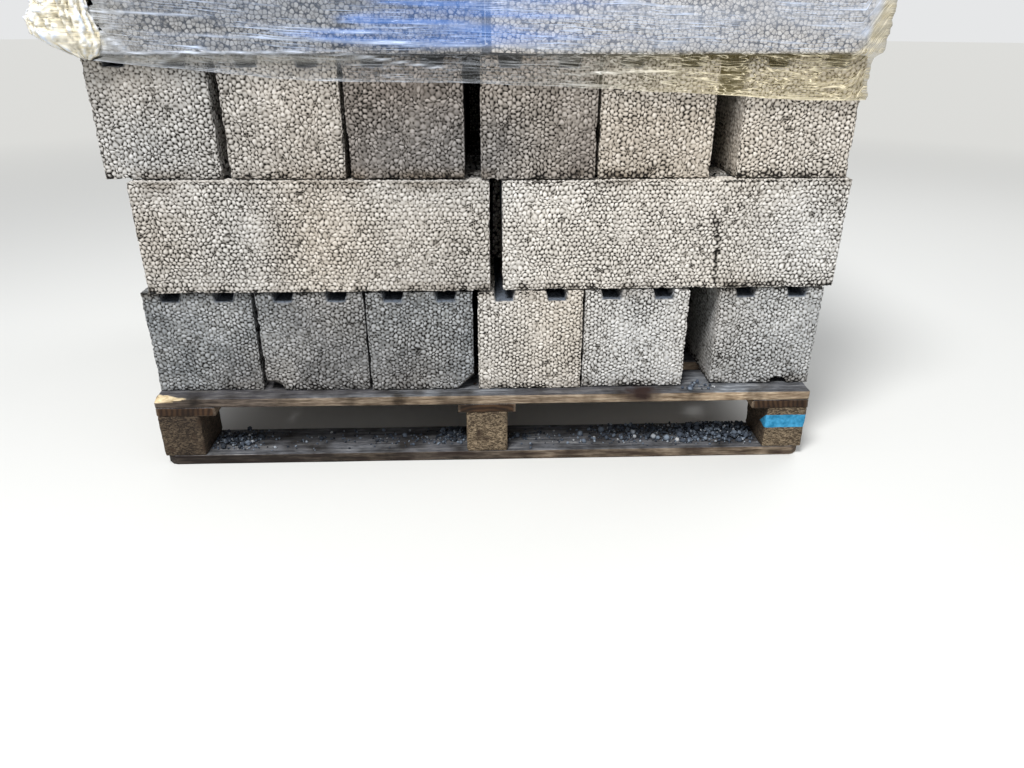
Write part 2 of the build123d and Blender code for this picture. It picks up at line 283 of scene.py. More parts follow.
def lattice(outline, pitch, notches=(), notch_depth=0.0):
    """Triangular lattice inside an outline: a rectangle from (0, 0), with notches open at its top.

    Rows lie pitch times half the root of three apart, and odd rows are shifted by half a pitch. Both steps
    are stretched a little, so that the outer rows keep a margin. Returns column and row numbers, the
    points, the triangles, and the lattice's own outline: a loop of point numbers with places along the sides.
    """
    width, height = outline.max(0)
    margin = MARGIN_SHARE * pitch
    rows = max(3, 1 + round((height - 2 * margin) / (pitch * ROOT3 / 2)))
    columns = max(3, 1 + round((width - 2 * margin) / pitch))
    step_up = (height - 2 * margin) / (rows - 1)
    step_across = (width - 2 * margin) / (columns - 1)
    row, column = np.divmod(np.arange(rows * columns), columns)
    shifted = column + (row % 2) / 2
    u = margin + shifted * step_across
    v = margin + row * step_up
    keep = shifted <= columns - 1
    for low, high in notches:
        keep &= (u < low - margin) | (u > high + margin) | (v < height - notch_depth - margin)

    number = np.arange(rows * columns).reshape(rows, columns)
    here, right = number[:-1, :-1], number[:-1, 1:]
    above, above_right = number[1:, :-1], number[1:, 1:]
    even = (np.arange(rows - 1) % 2 == 0)[:, None]
    families = (
        (here, right, np.where(even, above, above_right)),
        (np.where(even, right, here), above_right, above),
    )
    triangles = np.concatenate([np.stack(family, axis=-1).reshape(-1, 3) for family in families])
    triangles = triangles[keep[triangles].all(axis=1)]

    grid = keep.reshape(rows, columns)
    across = u.reshape(rows, columns)
    bounds = [0.0, *np.ravel(notches), width]
    first, last = [], []
    for left_bound, right_bound in zip(bounds[::2], bounds[1::2]):
        inside = grid & (across > left_bound) & (across < right_bound)
        first.append(inside.argmax(axis=1))
        last.append(columns - 1 - inside[:, ::-1].argmax(axis=1))
    middle = np.arange(1, rows - 1)
    loop = [number[0], number[middle, last[-1][middle]]]
    for tooth in range(len(first) - 1, -1, -1):
        loop.append(number[-1, first[tooth][-1]:last[tooth][-1] + 1][::-1])
        if tooth:
            floor = int(np.sum(v[::columns] < height - notch_depth - margin)) - 1
            climb = np.arange(floor + 1, rows - 1)
            shift = (floor + 1) % 2
            start = first[tooth][floor + 1] + shift - 1
            stop = last[tooth - 1][floor + 1] + shift
            loop.append(number[climb[::-1], first[tooth][climb[::-1]]])
            loop.append(number[floor, stop:start + 1][::-1])
            loop.append(number[climb, last[tooth - 1][climb]])
    loop.append(number[middle[::-1], first[0][middle[::-1]]])

    places = []
    spots = np.column_stack((u, v))
    for side, members in enumerate(loop):
        start = outline[side]
        run = outline[(side + 1) % len(outline)] - start
        share = (spots[members] - start) @ run / (run @ run)
        places.append(side + np.clip(share, 0, 0.999))
    loop = np.concatenate(loop)
    used = np.flatnonzero(keep)
    renumber = np.cumsum(keep) - 1
    return column[used], row[used], spots[used], renumber[triangles], renumber[loop], np.concatenate(places)


def stitch(inner, inner_place, outer, outer_place, sides):
    """Triangles of the strip between two loops that run the same way.

    Both loops' edges are taken in the order of their middles, and each makes a triangle with the point
    that the other loop has reached.
    """
    inner_middle = (inner_place + np.append(inner_place[1:], sides)) / 2
    outer_middle = (outer_place + np.append(outer_place[1:], sides)) / 2
    reached_outer = np.searchsorted(outer_middle, inner_middle, side="left") % len(outer)
    reached_inner = np.searchsorted(inner_middle, outer_middle, side="right") % len(inner)
    return np.concatenate((
        np.column_stack((np.roll(inner, -1), inner, outer[reached_outer])),
        np.column_stack((outer, np.roll(outer, -1), inner[reached_inner])),
    ))


def draw(channel, at, shift):
    """Random numbers from 0 to 1 for a lattice's points; channels are independent."""
    return DRAWS[channel, (at[0] + shift[0]) % DRAW_SIZE, (at[1] + shift[1]) % DRAW_SIZE]


def warp(spots, extent, open_height, shift, settings):
    """A slow drift of the lattice, so that pellets crowd here and spread there; none along the border."""
    room = np.min([spots[:, 0], extent[0] - spots[:, 0], spots[:, 1], open_height - spots[:, 1]], axis=0)
    at = np.column_stack((spots, np.full(len(spots), shift[0] * 0.1)))
    drift = [value_noise(at, settings.warp_size, seed + shift[1]) - 0.5 for seed in (21, 22)]
    fade = smoothstep(0, 0.6 * settings.warp_size, room)
    return np.column_stack(drift) * (settings.warp_depth * fade)[:, None]


def coarse_move(a, b, shift, settings):
    """How far a coarse lattice point is moved in the plane, in coarse steps.

    A pellet is moved at random. A pit goes to the middle of its three pellets where they have moved to,
    nearer to the small ones, so that large pellets push it away.
    """
    kind = (a - b) % 3
    move = np.zeros((len(a), 2))
    total = np.zeros(len(a))
    for step_a, step_b in ((0, 1), (-1, 0), (1, -1)):
        sign = np.where(kind == 1, 1, -1) * (kind != 0)
        at = (a + sign * step_a, b + sign * step_b)
        spread = settings.unevenness * (np.column_stack((draw(0, at, shift), draw(1, at, shift))) - 0.5)
        away = sign[:, None] * np.array([step_a + step_b / 2, step_b * ROOT3 / 2])
        weight = np.where(kind == 0, 1.0, 1 / (0.35 + 1.3 * draw(3, at, shift)))
        move += weight[:, None] * (away + spread)
        total += weight
    return move / total[:, None]


def pellet_relief(column, row, fine, shift, settings):
    """Where pellets and pits lie on a lattice whose every third coarse point is a pellet's top.

    A coarse point (a, b) is a pellet if a - b divides by three and a pit if not. On a fine lattice the points
    between two coarse ones are a pellet's shoulder, or the saddle where two pellets touch. Returns how far
    each point is moved in the plane, its height, its pit value and its pellet's tone. The pit value is
    painted
    shade: most deep in a pit or where a pellet is missing, some at a saddle and a little on a shoulder.
    """
    a = column - row // 2
    b = row
    if fine:
        first = (a // 2 + a % 2 * (b % 2), b // 2)
        second = (a // 2 + a % 2 * (1 - b % 2), b // 2 + b % 2)
    else:
        first = second = (a, b)
    kinds, moves, heights, pits, tones = [], [], [], [], []
    for at in (first, second):
        pellet = (at[0] - at[1]) % 3 == 0
        sunk = pellet & (draw(4, at, shift) < settings.missing_share)
        depth = draw(2, at, shift)
        kinds.append(pellet & ~sunk)
        moves.append(coarse_move(*at, shift, settings))
        rise = settings.pellet_rise * (2 * depth - 1)
        pit = settings.pit_depth * (0.35 + 1.2 * depth ** 2)
        heights.append(np.where(pellet, rise - sunk * settings.pit_depth, -pit))
        pits.append(np.where(pellet & ~sunk, 0.0, 0.38 + 0.6 * depth))
        tones.append(np.where(pellet, draw(5, at, shift), 0.5))
    move = (moves[0] + moves[1]) / 2
    if not fine:
        return move, heights[0] * 0.8, pits[0] * 0.5, tones[0]
    same = (a % 2 == 0) & (b % 2 == 0)
    both_pits = ~same & ~kinds[0] & ~kinds[1]
    mixed = ~same & ~both_pits
    top = np.maximum(heights[0], heights[1])
    crack = draw(1, (a, b), shift)
    saddle = -settings.pellet_rise - settings.pit_depth * (0.12 + 0.5 * crack ** 2)
    height = np.where(both_pits, saddle, np.where(mixed, top - settings.shoulder_drop, heights[0]))
    # A saddle gets some painted shade and a shoulder a little, so that each pellet greys towards its edge
    pit = np.where(both_pits, 0.17 + 0.34 * crack ** 2, np.where(mixed, 0.11, pits[0]))
    tone = np.where(kinds[0], tones[0], tones[1])
    return move, height, pit, tone


def block_frame(node):
    """A block's middle on its underside, its across, up and along directions as columns, from its box."""
    low, high = (np.array(corner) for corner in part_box(node))
    origin = np.array([*(low + high)[:2] / 2, low[2]])
    if "end_block" in node:
        return origin, np.array([(1, 0, 0), (0, 0, 1), (0, -1, 0)], dtype=float).T
    turn = BLOCK_TURNS.get(node, 0.0)
    across = (-np.sin(turn), np.cos(turn), 0)
    along = (np.cos(turn), np.sin(turn), 0)
    return origin, np.array([across, (0, 0, 1), along]).T


def shown_patches(node):
    """The patches of a block that can be seen: 2 for fine pellets at the front and 1 for coarser ones."""
    course = int(node.split("_")[1])
    shown = {}
    if "end_block" in node:
        index = int(node[-1])
        shown[FRONT_END] = 2
        if index == 1:
            shown[LEFT_SIDE] = 1
            shown[TOP_STRIPS[2]] = 1
        if index == 6:
            shown[RIGHT_SIDE] = 1
            shown[LEFT_SIDE] = 1
            shown[TOP_STRIPS[0]] = 1
    else:
        shown[BACK_END if node.endswith("left") else FRONT_END] = 1
        if "front_row" in node:
            shown[TOP_STRIPS[2]] = 1
            if course == 2:
                shown[LEFT_SIDE] = 2
        if "back_row" in node:
            shown[RIGHT_SIDE] = 1
        if course == 4:
            shown.update({patch: 1 for patch in TOP_STRIPS + GROOVE_FLOORS})
    return shown


def round_off(points, normals, radius, low, high):
    """Points on a box from low to high, moved onto a box with rounded edges, and the direction out of it.

    The point is held inside the box shrunk by the radius, and the rounded surface lies that radius away
    from there. A point inside the box, such as one in a groove, stays and keeps its own normal.
    """
    centre = (low + high) / 2
    half = (high - low) / 2
    offset = points - centre
    outside = np.any(np.abs(offset) > half - 0.01 * MM, axis=1)
    core = np.clip(offset, radius[:, None] - half, half - radius[:, None])
    lean = offset - core
    reach = np.linalg.norm(lean, axis=1, keepdims=True)
    direction = np.where(outside[:, None], lean / np.maximum(reach, 1e-9), normals)
    moved = np.where(outside[:, None], centre + core + direction * radius[:, None], points)
    return moved, direction


def knock_off(points, planes):
    """Flatten what lies beyond all the planes onto the nearest of them; a plane is a point and a normal."""
    beyond = np.stack([(points - start) @ normal for start, normal in planes])
    nearest = beyond.argmin(axis=0)
    push = np.maximum(beyond.min(axis=0), 0)
    directions = np.array([normal for _, normal in planes])
    return points - push[:, None] * directions[nearest], push > 0


def break_foot_corner(points, side, width, height, lean):
    """Knock a lower corner off the front end: a slanting plane, and a second one that levels its top."""
    corner = np.array([side * BLOCK_WIDTH / 2, 0, BLOCK_LENGTH / 2])
    slant = np.array([side * height, -lean * width, 0.6 * height])
    roof = np.array([0, -1.0, 0.75])
    planes = [
        (corner - (side * width, 0, 0), slant / np.linalg.norm(slant)),
        (corner + (0, height, 0), roof / np.linalg.norm(roof)),
    ]
    return knock_off(points, planes)


def bite_foot(points, centre, width, height, depth):
    """Push the front end in round a spot on its foot, as deep as a half ellipsoid stands there."""
    across = (points[:, 0] - centre) / (width / 2)
    up = points[:, 1] / height
    share = np.sqrt(np.clip(1 - across ** 2 - up ** 2, 0, 1))
    near = smoothstep(0.6, 1.0, points[:, 2] / (BLOCK_LENGTH / 2))
    moved = points.copy()
    moved[:, 2] -= depth * share * near
    moved[:, 1] += 0.4 * height * share * near
    return moved, share > 0.3


def widen_mouths(points):
    """Spread the grooves' walls towards the front end, most at the top, where their edges have crumbled."""
    near_front = smoothstep(BLOCK_LENGTH / 2 - MOUTH_REACH, BLOCK_LENGTH / 2, points[:, 2])
    height = np.clip(1 - (BLOCK_HEIGHT - points[:, 1]) / GROOVE_DEPTH, 0, 1)
    for centre in (-GROOVE_OFFSET, GROOVE_OFFSET):
        aside = points[:, 0] - centre
        window = smoothstep(8 * MM, 14 * MM, np.abs(aside))
        window = window * (1 - smoothstep(19 * MM, 34 * MM, np.abs(aside)))
        points = points + np.outer(np.sign(aside) * MOUTH_SPREAD * near_front * height * window, (1, 0, 0))
    return points


def damage(node, points):
    """The broken places of three blocks, their sizes as width, height and depth or lean.

    Returns the points and which of them lie in a break.
    """
    if node == "course_1_end_block_2":
        return break_foot_corner(points, -1, 34 * MM, 22 * MM, 0.25)
    if node == "course_1_end_block_3":
        return break_foot_corner(points, 1, 34 * MM, 34 * MM, 0.9)
    if node == "course_1_end_block_6":
        return bite_foot(points, 37 * MM, 34 * MM, 13 * MM, 15 * MM)
    return points, np.zeros(len(points), dtype=bool)


def block_borders(section, levels, steps):
    """The border points that a block's patches share: at the corners, on the long and on the short edges.

    Returns the points, the patches that touch at each, and the point numbers by patch and side. An edge
    takes the finer step of its two patches. Points are counted up in the order of the edges.
    """
    sides = len(section)
    runs = np.roll(section, -1, axis=0) - section
    lengths = np.linalg.norm(runs, axis=1)
    ends = ((BACK_END, -BLOCK_LENGTH / 2), (FRONT_END, BLOCK_LENGTH / 2))
    points, touching = [], []

    def add(spots, patches):
        """Add points that lie on the border of these patches, and return their numbers."""
        first = len(touching)
        points.append(spots)
        touching.extend([patches] * len(spots))
        return np.arange(first, len(touching))

    corner, long_edge, short_edge = {}, {}, {}
    for end, along in ends:
        for side in range(sides):
            spot = np.array([[*section[side], along]])
            corner[end, side] = add(spot, (end, side, (side - 1) % sides))
    for side in range(sides):
        before = (side - 1) % sides
        pieces = max(2, round(BLOCK_LENGTH / steps[max(levels.get(side, 0), levels.get(before, 0))]))
        share = np.arange(1, pieces)[:, None] / pieces
        spots = np.hstack((np.tile(section[side], (pieces - 1, 1)), (share - 0.5) * BLOCK_LENGTH))
        long_edge[side] = add(spots, (side, before))
        for end, along in ends:
            pieces = max(1, round(lengths[side] / steps[max(levels.get(side, 0), levels.get(end, 0))]))
            share = np.arange(1, pieces)[:, None] / pieces
            spots = np.hstack((section[side] + share * runs[side], np.full((pieces - 1, 1), along)))
            short_edge[end, side] = add(spots, (side, end))
    return np.concatenate(points), touching, corner, long_edge, short_edge


def patch_border(patch, section, corner, long_edge, short_edge):
    """A patch's border as one chain of point numbers a side, its outline in the plane, and its notches."""
    sides = len(section)
    if patch >= sides:
        chains = [np.concatenate((corner[patch, side], short_edge[patch, side])) for side in range(sides)]
        notches = [
            (BLOCK_WIDTH / 2 + centre - GROOVE_WIDTH / 2, BLOCK_WIDTH / 2 + centre + GROOVE_WIDTH / 2)
            for centre in (-GROOVE_OFFSET, GROOVE_OFFSET)
        ]
        return chains, section + (BLOCK_WIDTH / 2, 0), notches
    after = (patch + 1) % sides
    chains = [
        np.concatenate((corner[BACK_END, patch], short_edge[BACK_END, patch])),
        np.concatenate((corner[BACK_END, after], long_edge[after])),
        np.concatenate((corner[FRONT_END, after], short_edge[FRONT_END, patch][::-1])),
        np.concatenate((corner[FRONT_END, patch], long_edge[patch][::-1])),
    ]
    width = np.linalg.norm(section[after] - section[patch])
    return chains, np.array([(0, 0), (width, 0), (width, BLOCK_LENGTH), (0, BLOCK_LENGTH)]), ()


def block_skin(node, settings):
    """One block's surface: a lattice on each shown patch, stitched to border lines that patches share.

    A patch that can't be seen is one polygon over its border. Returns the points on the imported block's
    section, their outward normals, the height, pit and tone of each, how many of them lie on a border, the
    triangles and the polygons.
    """
    number = sorted(frame["nodes"]).index(node)
    section = block_section()
    sides = len(section)
    levels = shown_patches(node)
    pitch = settings.pellet_spacing / ROOT3
    steps = {0: PLAIN_EDGE_STEP, 1: pitch, 2: pitch / 2}
    runs = np.roll(section, -1, axis=0) - section
    runs = runs / np.linalg.norm(runs, axis=1)[:, None]
    faces = np.column_stack((runs[:, 1], -runs[:, 0], np.zeros(sides)))
    faces = np.vstack((faces, (0, 0, -1), (0, 0, 1)))

    border_points, touching, *edges = block_borders(section, levels, steps)
    count = len(border_points)
    points, normals = [border_points], [np.array([faces[list(patches)].sum(axis=0) for patches in touching])]
    heights, pits, tones = [np.zeros(count)], [np.full(count, 0.3)], [np.full(count, 0.5)]
    triangles, polygons = [], []
    for patch in range(sides + 2):
        chains, outline, notches = patch_border(patch, section, *edges)
        border = np.concatenate(chains)
        flip = patch == BACK_END
        if patch not in levels:
            polygons.append(border[::-1] if flip else border)
            continue
        step = steps[levels[patch]]
        column, row, spots, inside, loop, place = lattice(outline, step, notches, GROOVE_DEPTH)
        shift = (number * 37 + patch * 11, number * 53 + patch * 17)
        move, height, pit, tone = pellet_relief(column, row, levels[patch] == 2, shift, settings)
        open_height = outline[:, 1].max() - (GROOVE_DEPTH if patch >= sides else 0)
        spots = spots + warp(spots, outline.max(0), open_height, shift, settings) + move * pitch
        if patch >= sides:
            along = faces[patch, 2] * BLOCK_LENGTH / 2
            spots = np.column_stack((spots[:, 0] - BLOCK_WIDTH / 2, spots[:, 1], np.full(len(spots), along)))
        else:
            spots = np.column_stack((
                section[patch] + spots[:, :1] * runs[patch], spots[:, 1] - BLOCK_LENGTH / 2
            ))
        own = np.arange(count, count + len(spots))
        count += len(spots)
        points.append(spots)
        normals.append(np.tile(faces[patch], (len(spots), 1)))
        heights.append(height)
        pits.append(pit)
        tones.append(tone)
        border_place = np.concatenate([side + np.arange(len(c)) / len(c) for side, c in enumerate(chains)])
        strip = stitch(own[loop], place, border, border_place, len(chains))
        made = np.concatenate((own[inside], strip))
        triangles.append(made[:, ::-1] if flip else made)
    skin = [np.concatenate(parts) for parts in (points, normals, heights, pits, tones)]
    return *skin, len(border_points), np.concatenate(triangles), polygons


def weather_block(node, points, normals, height, pit, tone, border_count, settings):
    """A block's skin as it lies on the pallet: rounded, worn, chipped and broken, with its fields.

    Heights go along the rounded box's direction. A groove's walls and floor are found by their depth below
    the top, from 0 at the top to 1 on the floor.
    """
    normals = normals / np.linalg.norm(normals, axis=1, keepdims=True)
    origin, axes = block_frame(node)
    world = origin + points @ axes.T
    on_border = np.arange(len(points)) < border_count
    bumps = value_noise(world, 0.55 * settings.pellet_spacing, 5)
    in_groove = np.abs(np.abs(points[:, 0]) - GROOVE_OFFSET) < GROOVE_WIDTH / 2 + 0.3 * MM
    down = np.where(in_groove, np.clip((BLOCK_HEIGHT - points[:, 1]) / GROOVE_DEPTH, 0, 1), 0)
    down = np.where(points[:, 1] > BLOCK_HEIGHT - GROOVE_DEPTH - 0.3 * MM, down, 0)
    wear = settings.edge_wear + 2.4 * MM * (down > 0) * (points[:, 2] > BLOCK_LENGTH / 2 - 1 * MM)
    height = np.where(on_border, -wear * (0.2 + 1.1 * bumps), height)
    # Painted shade in the pits, patchy; border points get painted shade from noise, and chips more of it
    pit = pit * (0.65 + 0.7 * value_noise(world, 48 * MM, 17))
    pit = np.where(on_border, 0.15 + 0.55 * (1 - bumps), pit)
    tone = np.where(on_border, value_noise(world, 0.7 * settings.pellet_spacing, 6), tone)
    radius = settings.edge_radius * (0.55 + 1.1 * value_noise(world, 70 * MM, 7))
    half = np.array([BLOCK_WIDTH, 0, BLOCK_LENGTH]) / 2
    moved, direction = round_off(points, normals, radius, -half, half + (0, BLOCK_HEIGHT, 0))
    arris = 1 - np.abs(direction).max(axis=1)
    chips = smoothstep(0.52, 0.8, value_noise(world, 13 * MM, 8)) * smoothstep(0.02, 0.25, arris)
    height = height - CHIP_DEPTH * chips
    moved, broken = damage(node, moved)
    height = np.where(broken, BREAK_ROUGHNESS * (value_noise(world, 7 * MM, 14) - 0.8), height)
    moved = widen_mouths(moved) + direction * height[:, None]
    world = origin + moved @ axes.T

    damp_and_shade, warmth = BLOCK_LOOKS.get(node, PLAIN_LOOK)
    sideways = 1 - smoothstep(0.5, 0.95, np.abs((direction @ axes.T)[:, 2]))
    stain = stains(node, world) * sideways
    if node == "course_2_front_row_right":
        stain = np.maximum(stain, dark_streak(world))
    cloud = value_noise(world, 90 * MM, 9) * 0.6 + value_noise(world, 30 * MM, 10) * 0.4
    return world, {
        # pit: painted shade in pores, seams and chips, darkened further by the stains and the streak
        "pit": np.clip((pit + 0.3 * chips) * (1 + 1.6 * stain) + 0.12 * stain, 0, 1),
        "tone": tone,
        "damp_and_shade": np.clip(damp_and_shade + 0.5 * (cloud - 0.5) * (0.25 + damp_and_shade), 0, 1),
        "warmth": np.clip(warmth + 0.8 * (value_noise(world, 140 * MM, 11) - 0.5), 0, 1),
        "soil": np.clip(soil(node, world, cloud) * sideways + 0.3 * broken, 0, 1),
        "plain": np.where(on_border, 1.0, 0.0),
        # Painted shade in the grooves, growing towards their floors
        "groove_shade": down ** 0.7,
    }


def soil(node, world, cloud):
    """Brown dirt: a little along the joints between courses, more where the cloud noise is high."""
    low, high = (np.array(corner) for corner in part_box(node))
    from_joint = np.minimum(world[:, 2] - low[2], high[2] - world[:, 2])
    near_joint = 1 - smoothstep(2 * MM, 26 * MM, from_joint)
    return near_joint * smoothstep(0.45, 0.8, cloud) * 0.5


def stains(node, world):
    """Black spots along a block's lower and upper edge, larger and closer in some places than in others."""
    low, high = (np.array(corner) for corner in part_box(node))
    from_joint = np.minimum(world[:, 2] - low[2], 2 * (high[2] - world[:, 2]))
    near_joint = 1 - smoothstep(2 * MM, 17 * MM, from_joint)
    spots = value_noise(world, 9 * MM, 15) * 0.65 + value_noise(world, 45 * MM, 16) * 0.35
    return near_joint * smoothstep(0.5, 0.68, spots)


def dark_streak(world):
    """A wandering dark streak down the long block's front, widest where the noise is high."""
    share = np.clip((STREAK_TOP - world[:, 2]) / (STREAK_TOP - STREAK_FOOT), -0.2, 1.2)
    middle = STREAK_LEFT + share * (STREAK_RIGHT - STREAK_LEFT)
    wander = value_noise(world * (0, 1, 1), 24 * MM, 12) - 0.5
    away = np.abs(world[:, 0] - middle - 14 * MM * wander)
    width = 13 * MM * value_noise(world, 9 * MM, 13) ** 1.4 * (1.25 - 0.6 * share)
    inside = smoothstep(-0.1, 0.1, share) * (1 - smoothstep(0.95, 1.1, share))
    return STREAK_SHADE * inside * (1 - smoothstep(0.3, 1.0, away / np.maximum(width, 1e-6)))


# Boards and spacers

def side_steps(length, step, corner_steps):
    """Places from 0 up to a side's length, its end left out: close at both corners, even between."""
    inner = max(2, round((length - 2 * corner_steps[-1]) / step) + 1)
    middle = np.linspace(corner_steps[-1], length - corner_steps[-1], inner)
    return np.concatenate(([0], corner_steps[:-1], middle, length - np.array(corner_steps[-2::-1])))


def ring_strips(at):
    """Triangles between neighbouring rings, from the point numbers with one row a ring."""
    after = np.roll(at, -1, axis=1)
    quads = ((at[:-1], after[:-1], after[1:]), (at[:-1], after[1:], at[1:]))
    return np.concatenate([np.stack(corners, axis=-1).reshape(-1, 3) for corners in quads])


def closed_rings(count, around):
    """Triangles over rings of points carried along a piece, drawn together to one point at both ends."""
    at = 1 + np.arange(count * around).reshape(count, around)
    after = np.roll(at, -1, axis=1)
    first = np.column_stack((np.zeros(around, int), after[0], at[0]))
    last = np.column_stack((np.full(around, 1 + count * around), at[-1], after[-1]))
    return np.concatenate((ring_strips(at), first, last))


def carried_box(low, high, axes, around_step, along_step, corner_steps):
    """A box as rings of points: its section's outline, carried along the third axis, closed at both ends.

    Returns points in the axes' own directions with the origin in the middle of the box, the outward
    normals, and the triangles. Near the ends the rings are close, and shrinking rings cover each end.
    """
    width, height, length = np.abs(axes.T @ (high - low))
    across = side_steps(width, around_step, corner_steps)
    up = side_steps(height, min(around_step, height / 4), corner_steps)
    section = np.concatenate((
        np.column_stack((across - width / 2, np.full(len(across), -height / 2))),
        np.column_stack((np.full(len(up), width / 2), up - height / 2)),
        np.column_stack((width / 2 - across, np.full(len(across), height / 2))),
        np.column_stack((np.full(len(up), -width / 2), height / 2 - up)),
    ))
    counts = [len(across), len(up), len(across), len(up)]
    normals = np.repeat([(0, -1), (1, 0), (0, 1), (-1, 0)], counts, axis=0)
    along = np.append(side_steps(length, along_step, corner_steps), length) - length / 2
    cover = np.array(END_RINGS)
    scale = np.concatenate((cover, np.ones(len(along)), cover[::-1]))
    place = np.pad(along, len(cover), mode="edge")
    rings = np.empty((len(place), len(section), 3))
    rings[:, :, :2] = section * scale[:, None, None]
    rings[:, :, 2] = place[:, None]
    facing = np.zeros_like(rings)
    facing[:, :, :2] = normals * (scale[:, None, None] == 1)
    facing[:, :, 2] = np.sign(place)[:, None] * (scale < 1)[:, None]
    pole = np.array([[0, 0, length / 2]])
    points = np.concatenate((-pole, rings.reshape(-1, 3), pole))
    facing = np.concatenate(([(0, 0, -1)], facing.reshape(-1, 3), [(0, 0, 1)]))
    return points, facing, closed_rings(len(place), len(section))


def board_axes(node):
    """Across, up and along directions of a board as columns: deck and bottom boards lie along +X."""
    if node.startswith("cross_board"):
        return np.array([(1, 0, 0), (0, 0, 1), (0, -1, 0)], dtype=float).T
    return np.array([(0, 1, 0), (0, 0, 1), (1, 0, 0)], dtype=float).T


def board_surface(node, settings):
    """A sawn board: a rounded box with its edges worn unevenly, long ridges of grain and torn fibres.

    The relief is noise stretched twenty times along the board. The bottom boards' corners are sawn off:
    there the section narrows by as much as it lies near the end. A plane cuts the front deck board's split.
    """
    low, high = (np.array(corner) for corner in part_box(node))
    axes = board_axes(node)
    front = node in ("deck_board_1", "bottom_board_front")
    around_step, along_step = (4.0 * MM, 8 * MM) if front else (12 * MM, 22 * MM)
    points, normals, triangles = carried_box(low, high, axes, around_step, along_step, (1.3 * MM, 3.4 * MM))
    middle = (low + high) / 2
    half = np.abs(axes.T @ (high - low)) / 2
    world = middle + points @ axes.T
    stretched = world @ axes / (1, 1, 20)
    radius = settings.board_edge_radius * (0.4 + 1.3 * value_noise(stretched, 14 * MM, 31))
    moved, direction = round_off(points, normals, radius, -half, half)
    arris = smoothstep(0.02, 0.2, 1 - np.abs(direction).max(axis=1))
    ridges = value_noise(stretched, 5 * MM, 32) + 0.5 * value_noise(stretched, 2.2 * MM, 33) - 0.75
    torn = smoothstep(0.66, 0.9, value_noise(stretched, 11 * MM, 34)) * (0.25 + arris)
    height = settings.grain_depth * ridges - TEAR_DEPTH * torn
    if node.startswith("bottom_board"):
        from_end = half[2] - np.abs(points[:, 2])
        narrowed = np.clip(settings.corner_cut - from_end, 0, settings.corner_cut)
        moved[:, 0] *= 1 - narrowed / half[0]
    world = middle + moved @ axes.T
    split = np.zeros(len(world), dtype=bool)
    if node == "deck_board_1":
        end = np.array([low[0], low[1], high[2]])
        edge = np.array([
            end + (0, settings.split_width, 0),
            end + (settings.split_length, 0, 0),
            end - (0, 0, settings.split_depth),
        ])
        slope = np.cross(edge[1] - edge[0], edge[2] - edge[0])
        slope *= np.sign(slope[2]) / np.linalg.norm(slope)
        world, split = knock_off(world, [(edge[0], slope)])
        height = np.where(split, 2.5 * settings.grain_depth * ridges, height)
    outward = direction @ axes.T
    world = world + outward * height[:, None]
    share = (world[:, 0] - low[0]) / (high[0] - low[0])
    patches = value_noise(world, 110 * MM, 35)
    facing_up = outward[:, 2] > 0.5
    if node == "deck_board_1":
        damp_and_shade = 1.0 - share + 0.6 * (patches - 0.5) + facing_up * (0.3 * share + 0.9 * (patches - 0.5))
        knot = ((world - (KNOT_PLACE, low[1], high[2])) / KNOT_SIZE) ** 2
        ragged = value_noise(world, 9 * MM, 37)
        torn = np.maximum(torn, 2.2 * np.exp(-knot.sum(axis=1)) * (0.3 + ragged))
    elif node == "bottom_board_front":
        # Its top lies in the deck's shadow: the 0.78 there is painted shade; its front darkens towards the
        # left
        damp_and_shade = np.where(facing_up, 0.78, 1.15 - 0.6 * share) + 0.3 * (patches - 0.5)
    else:
        damp_and_shade = 0.55 + 0.6 * (patches - 0.5)
    frayed = 0.75 * smoothstep(0.5, 0.68, value_noise(stretched * (1, 1, 3), 6 * MM, 36)) * ~facing_up
    frayed = frayed * (node == "bottom_board_front")
    fields = {
        "weather": smoothstep(0.45, 0.85, outward[:, 2]) * ~split,
        "fresh": np.where(split, 1.0, 0.0),
        "end": smoothstep(0.6, 0.9, np.abs(direction[:, 2])),
        "damp_and_shade": np.clip(damp_and_shade, 0, 1) * ~split,
        "torn": np.clip(torn + frayed, 0, 1),
        # Painted shade on the bottom boards' sides, deepest at the left
        "grime": smoothstep(0.85, 0.1, share) * ~facing_up * node.startswith("bottom_board"),
    }
    return world, triangles, fields


